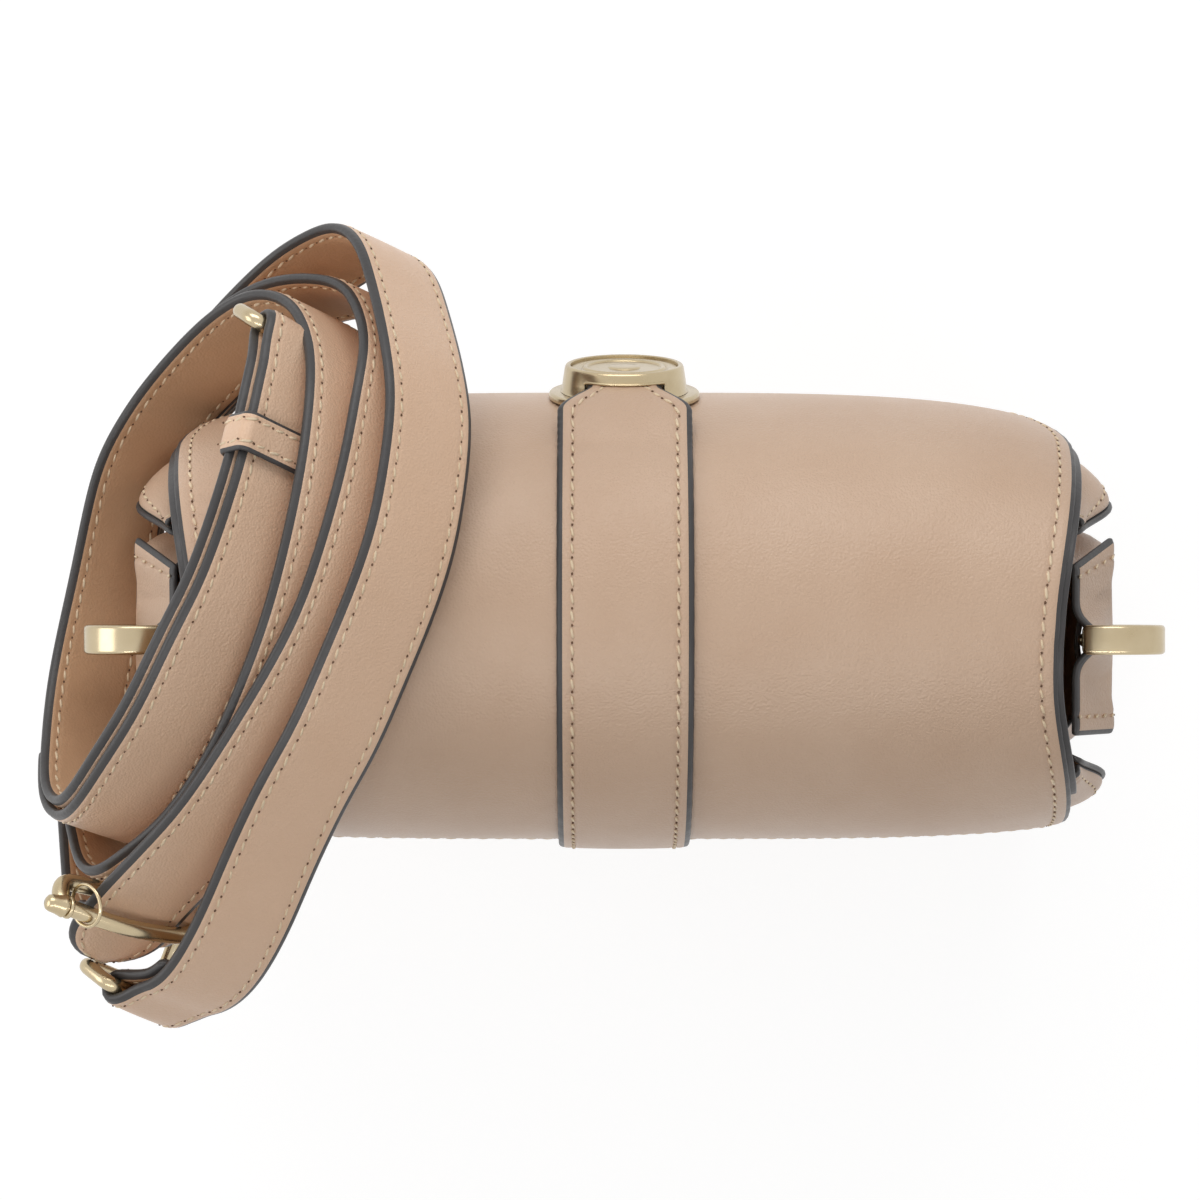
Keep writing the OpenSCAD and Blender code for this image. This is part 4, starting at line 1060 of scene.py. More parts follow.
def resample(path, step, *more):
    far = run_length(path)
    even = np.linspace(0, far[-1], max(3, int(far[-1] / step)))
    out = [np.stack([np.interp(even, far, a[:, k]) for k in range(3)], 1) for a in (path, *more)]
    return [out[0]] + [unit(a) for a in out[1:]]


def calm(values, spread):
    """Rows smoothed with a bell curve; both ends stay where they are."""
    pad = 3 * spread
    head = 2 * values[:1] - values[pad:0:-1]
    tail = 2 * values[-1:] - values[-2:-pad - 2:-1]
    long = np.concatenate([head, values, tail])
    bell = np.exp(-0.5 * (np.arange(-pad, pad + 1) / spread) ** 2)
    return np.stack([np.convolve(long[:, k], bell / bell.sum(), "valid") for k in range(3)], 1)


def calm_route(points):
    """A smooth path in steps of 1 mm, with its directions."""
    path = smooth_columns(points, 8)
    _, across, _ = strap_frames(path)
    path, across = resample(path, 1.0, across)
    path, across = calm(path, 5), calm(across, 12)
    ahead = unit(np.gradient(path, axis=0))
    across = unit(across - ahead * (across * ahead).sum(1, keepdims=True))
    return path, across, np.cross(ahead, across)


def strap_band(name, path, across, round_end=False, swap_until=0.0, thick=STRAP_T):
    """A padded band: path in the middle of its section, across along its width."""
    path, across = resample(path, 1.4, across)
    ahead = unit(np.gradient(path, axis=0))
    across = unit(across - ahead * (across * ahead).sum(1, keepdims=True))
    out = np.cross(ahead, across)
    far = run_length(path)
    wide = np.ones(len(path))
    if round_end:
        left = np.clip((far - far[-1] + STRAP_HALF) / STRAP_HALF, 0, 0.995)
        wide = np.sqrt(1 - left ** 2)
    u = STRAP_U[None, :] * wide[:, None]
    edge = (STRAP_HALF - np.abs(STRAP_U))[None, :] * wide[:, None]
    crown = 0.2 * (1 - (STRAP_U / STRAP_HALF) ** 2)[None, :]
    sink = groove(edge, 2.6, 0.22) - crown
    base = path[:, None, :] + u[..., None] * across[:, None, :]
    face = base + (thick / 2 - sink)[..., None] * out[:, None, :]
    back = base - (thick / 2 - sink)[..., None] * out[:, None, :]
    band = leather_sheet(name, face, back, (strap_leather_painted_light, edge_paint, tan_back_and_painted_light),
                         swapped=far < swap_until)
    for sign in (-1, 1):
        for lift in (-1, 1):
            line = path + (sign * (STRAP_HALF - 2.6) * wide)[:, None] * across \
                + lift * (thick / 2 - 0.1) * out
            sew("strap", line, lift * out)
    return band


# %% Fold of a strap round a rod
def fold_points(end, ahead, out, rod_r, drop=0.0):
    """Points that leave a strap's end, pass round a rod and come back beside it."""
    r = rod_r + STRAP_T / 2 + 0.1
    centre = end + ahead * (rod_r + 0.3) + out * drop
    a = np.radians(np.linspace(-125, 125, 15))
    return [centre + ahead * r * math.cos(k) + out * r * math.sin(k) for k in a]


def eased(path, first, last, rounds=4):
    """The same path with the points from first to last smoothed."""
    path = path.copy()
    for _ in range(rounds):
        part = slice(first, last)
        path[part] = (np.roll(path, 1, 0)[part] + 2 * path[part] + np.roll(path, -1, 0)[part]) / 4
    return path


# %% Long strap: tail, fold round the first eye, then the whole length
path, across, out = calm_route(LONG)
TAIL_POINTS = int(np.argmin(np.linalg.norm(path - LONG[10], axis=1)))
tail = path[:TAIL_POINTS + 1] + out[:TAIL_POINTS + 1] * TAIL_LIFT \
    + across[:TAIL_POINTS + 1] * TAIL_SLIP
start = int(np.argmax(np.linalg.norm(path - path[0], axis=1) > 5.5))
fold = fold_points(coarse_long[0], -long_dirs[0][0], long_dirs[2][0], 2.0, TAIL_LIFT / 2)[::-1]
whole = np.concatenate([tail[start:][::-1], np.array(fold), path[start:]])
width = np.concatenate([across[start:TAIL_POINTS + 1][::-1],
                        np.repeat(across[:1], len(fold), 0), across[start:]])
join = TAIL_POINTS + 1 - start
whole = eased(whole, join - 5, join + len(fold) + 5)
far = run_length(whole)
# Before the fold the strap runs the other way round, so its two finishes swap there.
strap_long = strap_band("strap_long_leather", whole, width, round_end=True,
                        swap_until=far[join + len(fold) // 2])

# %% Short strap: folded round the slide bar's lower rod and round the second eye
FOLD_BACK = 18.0
path, across, out = calm_route(SHORT)
far = run_length(path)
head = (far > 6) & (far < FOLD_BACK)
foot = (far[-1] - far > 6) & (far[-1] - far < FOLD_BACK)
main = (far > 5) & (far[-1] - far > 5)
head_fold = fold_points(coarse_short[0], -short_dirs[0][0], short_dirs[2][0], 2.2)[::-1]
foot_fold = fold_points(coarse_short[-1], short_dirs[0][-1], short_dirs[2][-1], 2.0)[::-1]
lift = STRAP_T + 0.25
inner_head = (path[head] - out[head] * lift)[::-1]
inner_foot = path[foot] - out[foot] * lift
whole = np.concatenate([inner_head, np.array(head_fold)[::-1], path[main],
                        np.array(foot_fold), inner_foot[::-1]])
width = np.concatenate([across[head][::-1], np.repeat(across[:1], len(head_fold), 0),
                        across[main], np.repeat(across[-1:], len(foot_fold), 0),
                        across[foot][::-1]])
a, b = len(inner_head), len(inner_head) + len(head_fold)
whole = eased(whole, a - 3, b + 4)
c = b + int(main.sum())
whole = eased(whole, c - 4, c + len(foot_fold) + 3)
strap_short = strap_band("strap_short_leather", whole, width)
print("rows of the short strap:", len(whole))

# %% [markdown]
# A narrow loop of leather keeps the two layers of the doubled end together. It is a ring of
# leather whose section is a rounded rectangle, sewn along both of its edges.

# %% Keeper loop
def on_strap(path, dirs, i, local, lift=0.0, slip=0.0):
    """Local x across the strap, y along it, z outwards."""
    ahead, across, out = (d[i] for d in dirs)
    local = np.asarray(local, float)
    return path[i] + lift * out + slip * across + local[..., :1] * across \
        + local[..., 1:2] * ahead + local[..., 2:] * out


KEEPER_L, KEEPER_T, KEEPER_GAP, KEEPER_POINT = 9.0, 1.6, 0.45, 5
THREAD_ROOM = 1.3
inner_w = 2 * STRAP_HALF + TAIL_SLIP + 2 * KEEPER_GAP
inner_h = 2 * STRAP_T + THREAD_ROOM + 2 * KEEPER_GAP
y = np.array([-4.5, -4.2, -3.8, -3.3, -2.9, -2.5, -1.8, 0, 1.8, 2.5, 2.9, 3.3, 3.8, 4.2, 4.5])
edge = KEEPER_L / 2 - np.abs(y)
sink = groove(edge, 1.6, 0.2)
grids = []
for grow, dent in ((KEEPER_T, sink), (0.0, 0 * sink)):
    ring = rounded_box(inner_w + 2 * grow, inner_h + 2 * grow, 1.2 + grow, 6)
    ring = np.concatenate([ring[k] + (ring[(k + 1) % len(ring)] - ring[k])
                           * np.linspace(0, 1, 9)[:-1, None] for k in range(len(ring))])
    away = unit(ring / [inner_w / 2, inner_h / 2])
    local = np.stack([ring[:, None, 0] - away[:, None, 0] * dent,
                      np.repeat(y[None, :], len(ring), 0),
                      ring[:, None, 1] - away[:, None, 1] * dent], -1)
    grids.append(on_strap(coarse_long, long_dirs, KEEPER_POINT, local,
                          (STRAP_T + 0.4) / 2, TAIL_SLIP / 2))
keeper = leather_sheet("keeper_leather", grids[0], grids[1],
                       (strap_leather_painted_light, edge_paint, tan_back_and_painted_light), closed=True)
for k in (4, 10):
    line = np.concatenate([grids[0][:, k], grids[0][:1, k]])
    up = line - grids[1][np.r_[0:len(grids[1]), 0], k]
    sew("keeper_loop", line - unit(up) * 0.02, up)

# %% [markdown]
# The slide bar, its wire loop and the snap hooks are bent from rod. Each follows the corners that
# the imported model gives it, with real bends instead of knuckles.

# %% Slide bar and its wire
SLIDE_R, SLIDE_LOW, SLIDE_HIGH, SLIDE_MORE = 2.2, -21.5, 15.2, 5.0
slide_i = len(coarse_long) - 1 - 5
slide_off = STRAP_T / 2 + SLIDE_R + 0.3
axis_top, axis_foot = long_dirs[1][slide_i], short_dirs[1][0]
top_c = coarse_long[slide_i] + long_dirs[2][slide_i] * slide_off
foot_c = coarse_short[0] - short_dirs[0][0] * (SLIDE_R + 0.3)
corners = [top_c + axis_top * SLIDE_LOW, top_c + axis_top * SLIDE_HIGH,
           foot_c + axis_foot * SLIDE_HIGH, foot_c + axis_foot * (SLIDE_LOW - SLIDE_MORE)]
loop = fillet(corners, 5.0, True)
bowed = []
for a, b in zip(loop, np.roll(loop, -1, 0)):
    count = max(1, int(np.linalg.norm(b - a) / 1.5))
    bowed += [a + (b - a) * k / count for k in range(count)]
bowed = np.array(bowed)
along_bar = (bowed - top_c) @ axis_top
near = np.linalg.norm(bowed - top_c - np.outer(along_bar, axis_top), axis=1) < 1
bow = np.where(near, 1.6 * np.clip(1 - ((along_bar + 3) / 17) ** 2, 0, 1) ** 1.5, 0)
bowed = bowed + bow[:, None] * long_dirs[2][slide_i]
slide_bar = gather("slide_bar_gold", [
    rod(bowed, SLIDE_R, True),
    turned([(0.01, -3.9), (1.2, -3.8), (1.9, -3.3), (2.2, -2.4), (2.4, -0.9), (2.75, 0.4),
            (2.9, 0.9), (2.8, 1.25), (2.3, 1.4), (0.01, 1.4)], corners[0], axis_top, 48),
    turned([(0.01, 1.8), (2.6, 1.8), (2.85, 2.0), (2.9, 2.4), (2.85, 2.8), (2.6, 3.0),
            (0.01, 3.0)], corners[0], axis_top, 48)], [pale_gold], sharp=60)
WIRE_R, WIRE_RING, WIRE_FROM_END, WIRE_TILT = 0.5, 5.2, 6.2, math.radians(65)
a = np.linspace(0, 2 * np.pi, 72, endpoint=False)
ring = np.stack([WIRE_RING * np.cos(a) * math.cos(WIRE_TILT),
                 WIRE_RING * np.sin(a) + SLIDE_R + WIRE_R + 0.3 - WIRE_RING,
                 WIRE_RING * np.cos(a) * math.sin(WIRE_TILT)], -1)
wire = on_strap(coarse_long, long_dirs, slide_i, ring, slide_off, SLIDE_LOW + WIRE_FROM_END)
slide_wire = gather("slide_wire_gold", [rod(wire, WIRE_R, True, 12)], [pale_gold])
print("slide bar corners:", np.round(np.array(corners), 1).tolist())

# %% Snap hooks
EYE_R, EYE_HALF, EYE_DROP, BOSS_R, BOSS_H, PIN_R = 2.0, 15.2, 11.0, 3.6, 5.0, 1.5
HOOK_ROD, HOOK_R, SHANK, GATE_R = 2.2, 8.5, 10.0, 1.3


def hook(number, centre, axis, turn):
    axis = unit(axis)
    hang = unit(np.array([0, 0, -1.0]) + axis * axis[2])
    boss = centre + axis * (EYE_HALF - BOSS_R) + hang * EYE_DROP
    drop = hang * EYE_DROP
    loop = fillet([boss, centre - axis * EYE_HALF + drop, centre - axis * EYE_HALF,
                   centre + axis * EYE_HALF, centre + axis * EYE_HALF + drop * 0.55],
                  3.2, True)[8:]
    eye = gather(f"hook_{number}_eye_gold", [
        rod(np.concatenate([[boss], loop, [boss]]), EYE_R, False, 20, False),
        turned([(PIN_R + 0.06, -2.5), (3.6, -2.5), (4.1, -2.1), (4.35, -1.2), (4.4, 0),
                (4.35, 1.2), (4.1, 2.1), (3.6, 2.5), (PIN_R + 0.06, 2.5), (PIN_R + 0.06, -2.5)],
               boss, (0, 0, 1), 48)], [pale_gold], sharp=50)
    low = -BOSS_H / 2 - 0.3 - 1.6
    c, s = math.cos(math.radians(turn)), math.sin(math.radians(turn))

    def at(x, y, z):
        return boss + np.array([x * c - y * s, x * s + y * c, z])

    a = np.radians(np.linspace(180, 380, 40))
    bend = [at(0, HOOK_R + HOOK_R * math.cos(k), low - SHANK + HOOK_R * math.sin(k)) for k in a]
    straight = [at(0, 0, low + 0.6), at(0, 0, low - SHANK * 0.5)]
    thick = [1.0] * (len(straight) + len(bend) - 6) + [1.0, 0.98, 0.95, 0.9, 0.84, 0.76]
    points, faces = sweep(np.array(straight + bend), circle(HOOK_ROD, 20), scale=thick)
    body = gather(f"hook_{number}_body_gold", [
        turned([(0.01, low), (3.2, low), (3.55, low + 0.3), (3.6, low + 0.8), (3.55, low + 1.3),
                (3.2, low + 1.6), (PIN_R, low + 1.6), (PIN_R, 2.8), (2.2, 2.8), (2.4, 3.0),
                (2.4, 3.7), (1.9, 4.15), (0.01, 4.2)], boss, (0, 0, 1), 48),
        (points, faces)], [pale_gold], sharp=50)
    a = at(0, HOOK_ROD + GATE_R + 0.3, low - SHANK + SHANK * 0.6)
    b = at(0, 2 * HOOK_R - HOOK_ROD - GATE_R - 0.3, low - SHANK + HOOK_ROD)
    gate = gather(f"hook_{number}_gate_gold", [rod([a, (a + b) / 2, b], GATE_R)], [pale_gold])
    for piece, kind, rides in ((eye, "eye", "strap"), (body, "body", f"hook_{number}"),
                               (gate, "gate", f"gate_{number}")):
        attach(piece, rides)
        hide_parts(f"hook_{number}_{kind}")
    return boss


eye_out = EYE_R + 0.3
boss_1 = hook(1, coarse_long[0] - long_dirs[0][0] * eye_out + long_dirs[2][0] * TAIL_LIFT / 2,
              long_dirs[1][0], 95)
boss_2 = hook(2, coarse_short[-1] + short_dirs[0][-1] * eye_out, short_dirs[1][-1], 160)
print("bosses of the hooks:", np.round(boss_1, 2), np.round(boss_2, 2))

# %% [markdown]
# ## Inside of the bag
# The lining is an open cup of cloth that stands on the base board, with a slip pocket on its back
# wall. It shows when the flap is lifted, so it has a hem, a weave and a few soft folds.

# %% Lining cup and pocket
LINING_P, LINING_T, LINING_TOP, HEM = 3.4, 1.2, 127.0, 4.0
LINING_SIDE_IN, LINING_GAP = VALLEY + BODY_T + 1.4, 0.7


def lining_ring(z, t, count=200):
    a = np.linspace(0, 2 * np.pi, count, endpoint=False)
    w = side_at(z) - LINING_SIDE_IN - t
    inset = np.where(np.sin(a) < 0, FRONT_INSET, BACK_INSET) + BODY_T + LINING_GAP + t
    d = half_depth(z) - inset
    folds = 0.35 * np.sin(9 * a + 0.06 * z) * np.sin(np.pi * z / 127) * (t > 0)
    x, y = w * spow(np.cos(a), 2 / LINING_P), d * spow(np.sin(a), 2 / LINING_P)
    shrink = 1 - (folds + 0.35 * (t > 0)) / 60
    return np.stack([x * shrink, y * shrink, 0 * a + z], -1)


def ringed(name, rings, material, sharp):
    """A closed piece through rings of points, with a lid on the first and the last."""
    n, m = len(rings[0]), len(rings)
    faces = [[i * n + j, i * n + (j + 1) % n, (i + 1) * n + (j + 1) % n, (i + 1) * n + j]
             for i in range(m - 1) for j in range(n)]
    faces += [list(range(n)), list(range((m - 1) * n, m * n))]
    return make_piece(name, np.concatenate(rings), faces, [material], sharp=sharp)


levels = np.linspace(BASE_T + SEAT, LINING_TOP, 44)
walls = [lining_ring(z, 0.0) for z in levels]
walls += [lining_ring(z, LINING_T) for z in levels[::-1][:-1]]
walls += [lining_ring(BASE_T + SEAT + LINING_T, LINING_T)]
lining = ringed("lining_cloth_cup", walls, lining_cloth, 60)
hem = lining_ring(LINING_TOP - HEM, LINING_T)
hem = np.concatenate([hem, hem[:1]])
sew("root", hem * [0.998, 0.998, 1], -hem * [1, 1, 0])
POCKET_HALF, POCKET_LOW, POCKET_HIGH, POCKET_OFF = 55.0, 40.0, 100.0, 0.9


def pocket_wall(x, z):
    wide = side_at(z) - LINING_SIDE_IN - LINING_T
    deep = half_depth(z) - BACK_INSET - BODY_T - LINING_GAP - LINING_T
    return deep * (1 - (np.abs(x) / wide) ** LINING_P) ** (1 / LINING_P) - POCKET_OFF


def pocket_sag(x, z):
    """The pocket's mouth hangs away from the wall in the middle."""
    return 1.6 * np.exp(-((z - 96) / 12) ** 2) * np.cos(np.pi * x / 110) ** 2


x = columns(POCKET_HALF, 60, MARGIN[:9])
z = np.concatenate([POCKET_LOW + MARGIN[:9], np.linspace(46, 94, 30),
                    POCKET_HIGH - MARGIN[:9][::-1]])
zz, xx = np.meshgrid(z, x, indexing="ij")
wall, sag = pocket_wall(xx, zz), pocket_sag(xx, zz)
pocket = leather_sheet("inner_pocket_cloth", np.stack([xx, wall - LINING_T - sag, zz], -1),
                       np.stack([xx, wall - sag, zz], -1), (lining_cloth,) * 3)
for line_x, line_z in ((np.full(40, -52.5), np.linspace(42.5, 97, 40)),
                       (np.linspace(-52.5, 52.5, 60), np.full(60, 42.5)),
                       (np.full(40, 52.5), np.linspace(42.5, 97, 40)),
                       (np.linspace(-54, 54, 60), np.full(60, 97.0))):
    wall_y = pocket_wall(line_x, line_z) - LINING_T - pocket_sag(line_x, line_z)
    sew("root", np.stack([line_x, wall_y, line_z], -1), np.repeat([[0, -1.0, 0]], len(line_x), 0))

# %% Base board, covered with leather
angles = np.linspace(0, 180, 240)
rings = []
for inset, level in ((1.8, 0.0), (1.1, 0.15), (0.7, 0.6), (0.6, 1.5), (0.7, 2.5), (1.1, 2.9),
                     (1.8, BASE_T)):
    base = []
    for front in (True, False):
        w = float(side_at(0)) - 0.4 - inset
        seam, deep = float(seam_y(0, front)), float(half_depth(0)) - (
            FRONT_INSET if front else BACK_INSET) - 0.4 - inset
        c, s = np.cos(np.radians(angles)), np.abs(np.sin(np.radians(angles)))
        y = seam + (deep - seam) * s ** (2 / PLAN_P)
        part = np.stack([-w * spow(c, 2 / PLAN_P), -y if front else y, 0 * y + level], -1)
        base.append(part if front else part[::-1])
    rings.append(np.concatenate(base))
base_board = ringed("base_board_leather", rings, satin_leather, 50)

# %% [markdown]
# ## Sewing with Geometry Nodes
# Every seam line becomes a curve, is cut into equal steps, and gets one thread on each step. The
# same tree, with other sizes and half a step further along, puts a dark dot of painted shade for
# the needle hole between each two threads. Thousands of threads share one small shape until the
# tree makes them real.

# %% The sewing tree
sewing = bpy.data.node_groups.new("sewing", "GeometryNodeTree")
sewing.is_modifier = True
sewing.interface.new_socket("Geometry", in_out="INPUT", socket_type="NodeSocketGeometry")
INPUTS = {}
for label, kind in (("Pitch", "NodeSocketFloat"), ("Shift", "NodeSocketFloat"),
                    ("Length", "NodeSocketFloat"), ("Width", "NodeSocketFloat"),
                    ("Height", "NodeSocketFloat"), ("Slant", "NodeSocketFloat"),
                    ("Seed", "NodeSocketInt"), ("Finish", "NodeSocketMaterial")):
    INPUTS[label] = sewing.interface.new_socket(label, in_out="INPUT",
                                                socket_type=kind).identifier
sewing.interface.new_socket("Geometry", in_out="OUTPUT", socket_type="NodeSocketGeometry")
given = add_node(sewing, "NodeGroupInput", -1200, 0)
to_curve = add_node(sewing, "GeometryNodeMeshToCurve", -1000, 100)
steps = add_node(sewing, "GeometryNodeResampleCurve", -640, 100, mode="LENGTH")
tangent = add_node(sewing, "GeometryNodeInputTangent", -640, -150)
up_name = add_node(sewing, "GeometryNodeInputNamedAttribute", -640, -300,
                   data_type="FLOAT_VECTOR")
fill(up_name, {"Name": "up"})
facing = add_node(sewing, "FunctionNodeAxesToRotation", -420, -200, primary_axis="Z",
                  secondary_axis="X")
seed_shape = add_node(sewing, "GeometryNodeMeshUVSphere", -640, 350)
fill(seed_shape, {"Segments": 6, "Rings": 4, "Radius": 0.5})
size = add_node(sewing, "ShaderNodeCombineXYZ", -640, 520)
slant = add_node(sewing, "ShaderNodeCombineXYZ", -820, 520)
shift = add_node(sewing, "ShaderNodeCombineXYZ", -820, 350)
shaped = add_node(sewing, "GeometryNodeTransform", -420, 350)
wander = add_node(sewing, "FunctionNodeRandomValue", -420, -420, data_type="FLOAT")
fill(wander, {2: 0.88, 3: 1.1})
scatter = add_node(sewing, "GeometryNodeInstanceOnPoints", -200, 100)
real = add_node(sewing, "GeometryNodeRealizeInstances", 0, 100)
smooth = add_node(sewing, "GeometryNodeSetShadeSmooth", 180, 100)
dyed = add_node(sewing, "GeometryNodeSetMaterial", 360, 100)
done = add_node(sewing, "NodeGroupOutput", 540, 100)
connect(sewing, (given, "Geometry", to_curve, "Mesh"), (to_curve, "Curve", steps, "Curve"),
        (given, "Pitch", steps, "Length"), (steps, "Curve", scatter, "Points"),
        (up_name, "Attribute", facing, "Primary Axis"),
        (tangent, "Tangent", facing, "Secondary Axis"), (facing, "Rotation", scatter, "Rotation"),
        (given, "Length", size, "X"), (given, "Width", size, "Y"), (given, "Height", size, "Z"),
        (given, "Slant", slant, "Z"), (seed_shape, "Mesh", shaped, "Geometry"),
        (size, "Vector", shaped, "Scale"), (slant, "Vector", shaped, "Rotation"),
        (given, "Shift", shift, "X"), (shift, "Vector", shaped, "Translation"),
        (shaped, "Geometry", scatter, "Instance"), (given, "Seed", wander, "Seed"),
        (wander, 1, scatter, "Scale"), (scatter, "Instances", real, "Geometry"),
        (real, "Geometry", smooth, "Geometry"), (smooth, "Geometry", dyed, "Geometry"),
        (given, "Finish", dyed, "Material"), (dyed, "Geometry", done, "Geometry"))
print("inputs of the sewing tree:", sorted(INPUTS))

# %% Sew every seam
def seam_object(name, lines):
    points, edges, ups, count = [], [], [], 0
    for line, up in lines:
        points.append(line * MM)
        ups.append(np.broadcast_to(up, line.shape))
        edges += [(count + k, count + k + 1) for k in range(len(line) - 1)]
        count += len(line)
    mesh = bpy.data.meshes.new(name)
    mesh.from_pydata(np.concatenate(points).tolist(), edges, [])
    mesh.attributes.new("up", "FLOAT_VECTOR", "POINT").data.foreach_set(
        "vector", np.concatenate(ups).astype(np.float32).ravel())
    return in_scene(name, mesh)


def sewn(name, lines, material, shift, length, width, height, slant_angle, seed):
    piece = seam_object(name, lines)
    tool = piece.modifiers.new("sewing", "NODES")
    tool.node_group = sewing
    for label, value in (("Pitch", STITCH * MM), ("Shift", shift * MM), ("Length", length * MM),
                         ("Width", width * MM), ("Height", height * MM),
                         ("Slant", math.radians(slant_angle)), ("Seed", seed),
                         ("Finish", material)):
        tool[INPUTS[label]] = value
    bpy.context.view_layer.update()
    mesh = bpy.data.meshes.new_from_object(
        piece.evaluated_get(bpy.context.evaluated_depsgraph_get()))
    piece.modifiers.clear()
    piece.data = mesh
    for attribute in [a.name for a in mesh.attributes if a.name == "up"]:
        mesh.attributes.remove(mesh.attributes[attribute])
    print(name, "faces:", len(mesh.polygons))
    return piece


# Given for each: shift, length, width and height in mm, slant in degrees, and a seed.
SEWN = {}
# Each seam also gets dark dots of painted shade at its needle holes.
for key in sorted(SEAMS):
    SEWN[key] = [sewn(f"threads_{key}", SEAMS[key], thread, 0.0, 3.2, 0.85, 0.76, 12, 3),
                 sewn(f"needle_hole_shades_{key}", SEAMS[key], needle_hole_shade, STITCH / 2, 0.8, 0.6, 0.44,
                      0, 5)]

# %% [markdown]
# ## What moves with what
# Each piece rides on the body of the joint that carries it. The flap, its lining and the belt
# cross the flap's hinge, so they bend between the back of the bag and the flap. The magnets and
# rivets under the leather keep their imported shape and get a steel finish.

# %% Rides, bends and replaced nodes
BEND_START, BEND_END = (0, 0.0555, 0.1240), (0, 0.0345, 0.1366)


def stands_for(piece, slot, *nodes):
    if nodes:
        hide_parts(*nodes)


for piece, slot, nodes in ((flap, "leather", ("flap_outer", "flap_root")),
                           (flap_lining, "leather_inside", ("flap_lining",)),
                           (belt, "leather", ("belt", "belt_tail")),
                           *((piece, None, ()) for piece in SEWN["flap"])):
    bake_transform(piece, "root", "flap", start=BEND_START, end=BEND_END)
    stands_for(piece, slot, *nodes)
for piece, body, slot, nodes in (
        (front_panel, "root", "leather", ("front_panel",)),
        (back_panel, "root", "leather", ("back_panel",)),
        (gusset_left, "root", "leather", ("gusset_left",)),
        (gusset_right, "root", "leather", ("gusset_right",)),
        (tab_left, "root", "leather", ("tab_left",)),
        (tab_right, "root", "leather", ("tab_right",)),
        (base_board, "root", "leather", ("base_panel",)),
        (lining, "root", "cloth", ("lining",)), (pocket, "root", "cloth", ("inner_pocket",)),
        (ring_left, "ring_l", "brass", ("ring_left",)),
        (ring_right, "ring_r", "brass", ("ring_right",)),
        (flange, "flap", "brass", ("lock_flange",)), (drum, "flap", "brass", ("lock_drum",)),
        (lock_face, "flap", "brass", ("lock_face",)), (slot_frame, "flap", "brass", ()),
        (strap_long, "strap", "leather", ("strap_long", "strap_tail")),
        (strap_short, "strap", "leather", ("strap_short",)),
        (keeper, "keeper_loop", "leather", ("keeper",)),
        (slide_bar, "slide_frame", "brass", ("slide_bar",)),
        (slide_wire, "slide_frame", "brass", ("slide_wire",)),
        *((piece, "root", None, ()) for piece in SEWN["root"]),
        *((piece, "strap", None, ()) for piece in SEWN["strap"]),
        *((piece, "keeper_loop", None, ()) for piece in SEWN["keeper_loop"])):
    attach(piece, body)
    stands_for(piece, slot, *nodes)
for node, material in (("lock_rivets", steel), ("magnet_stud", steel), ("magnet_socket", steel),
                       ("strap_studs", pale_gold)):
    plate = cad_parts[node]
    plate.data.materials.clear()
    plate.data.materials.append(material)

# %% [markdown]
# ## Floor and light
# The bag stands on a white floor. A large soft lamp from the front and one from behind the crest
# give the leather its two broad satin bands, a third lights the side where the strap lies, and
# the world fills the shadows.

# %% Floor
def seen_rays(tree):
    """A node that gives one for rays that the lens sees directly, in a mirror or through glass."""
    rays = add_node(tree, "ShaderNodeLightPath", -900, 300)
    seen = add_node(tree, "ShaderNodeMath", -700, 300, operation="MAXIMUM")
    seen_too = add_node(tree, "ShaderNodeMath", -500, 300, operation="MAXIMUM")
    connect(tree, (rays, "Is Camera Ray", seen, 0), (rays, "Is Glossy Ray", seen, 1),
            (seen, 0, seen_too, 0), (rays, "Is Transmission Ray", seen_too, 1))
    return seen_too


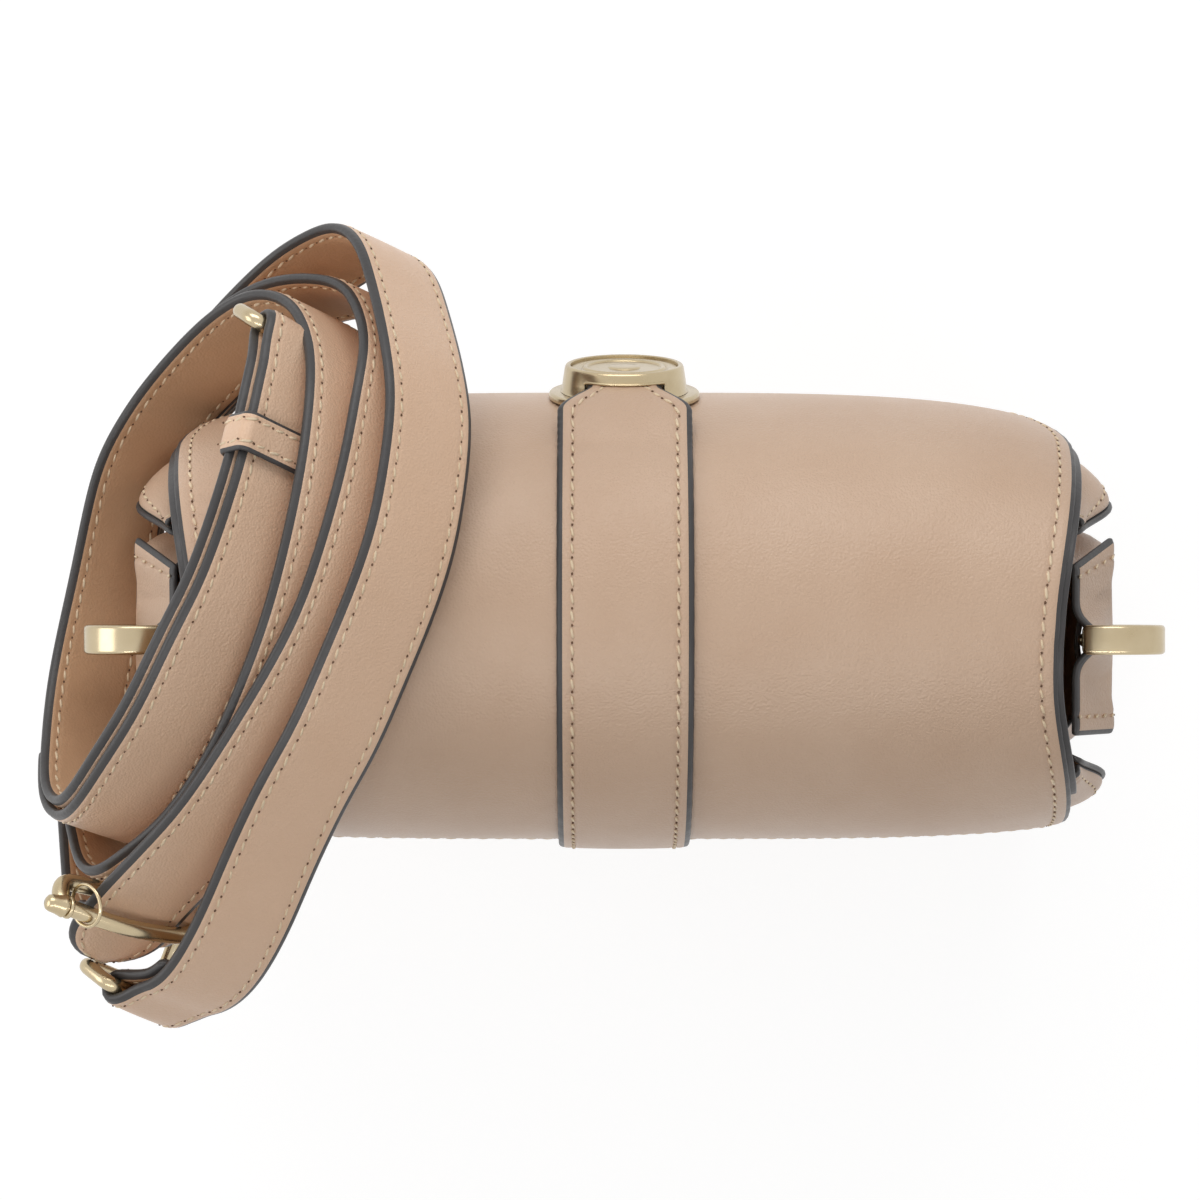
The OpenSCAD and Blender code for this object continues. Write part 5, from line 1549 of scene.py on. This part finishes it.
floor_mesh = bpy.data.meshes.new("floor")
floor_mesh.from_pydata([(-4, -4, 0), (4, -4, 0), (4, 4, 0), (-4, 4, 0)], [], [(0, 1, 2, 3)])
floor = in_scene("floor", floor_mesh)
floor_paint = bpy.data.materials.new("white_floor")
floor_paint.use_nodes = True
tree = floor_paint.node_tree
matt = tree.nodes["Principled BSDF"]
fill(matt, {"Base Color": (0.9, 0.9, 0.9, 1), "Roughness": 0.9})
glow = add_node(tree, "ShaderNodeEmission", 0, -300)
fill(glow, {"Strength": 1.16})
seen = seen_rays(tree)
part = add_node(tree, "ShaderNodeMath", 60, 300, operation="MULTIPLY")
fill(part, {1: 0.72})
both = add_node(tree, "ShaderNodeMixShader", 300, 0)
connect(tree, (seen, 0, part, 0), (part, 0, both, "Fac"), (matt, 0, both, 1), (glow, 0, both, 2),
        (both, 0, tree.nodes["Material Output"], "Surface"))
floor_mesh.materials.append(floor_paint)

# %% Lamps and world
def lamp(name, place, aim, size, size_y, power):
    data = bpy.data.lights.new(name, "AREA")
    data.shape = "RECTANGLE"
    data.size, data.size_y = size, size_y
    data.energy = power
    lamp_object = in_scene(name, data)
    lamp_object.location = place
    way = np.asarray(aim, float) - np.asarray(place, float)
    yaw = math.atan2(way[1], way[0])
    pitch = math.acos(-way[2] / np.linalg.norm(way))
    lamp_object.rotation_euler = (pitch, 0, yaw - math.pi / 2)


lamp("front_lamp", (0.1, -1.0, 0.9), (0, 0, 0.1), 1.2, 0.6, 6.7)
lamp("crest_lamp", (0, 0.58, 1.2), (0, 0, 0.12), 1.4, 0.09, 3.8)
lamp("side_lamp", (1.2, 0.0, 0.6), (0.1, 0, 0.12), 0.8, 0.8, 4.0)
world = bpy.data.worlds.new("soft_room")
bpy.context.scene.world = world
world.use_nodes = True
tree = world.node_tree
room = tree.nodes["Background"]
fill(room, {"Color": (1, 1, 1, 1)})
toward = add_node(tree, "ShaderNodeTexCoord", -1100, -200)
split = add_node(tree, "ShaderNodeSeparateXYZ", -900, -200)
front_to_back = add_node(tree, "ShaderNodeMapRange", -700, -200)
fill(front_to_back, {"From Min": -1.0, "From Max": 1.0, "To Min": 0.52, "To Max": 0.18})
seen = seen_rays(tree)
level = add_node(tree, "ShaderNodeMix", -300, 0)
fill(level, {"B": 1.0})
connect(tree, (toward, "Generated", split, "Vector"), (split, "Y", front_to_back, "Value"),
        (seen, 0, level, "Factor"), (front_to_back, "Result", level, "A"),
        (level, "Result", room, "Strength"))
bpy.context.scene.view_settings.view_transform = "Standard"

# %% Update the scene
bpy.context.view_layer.update()
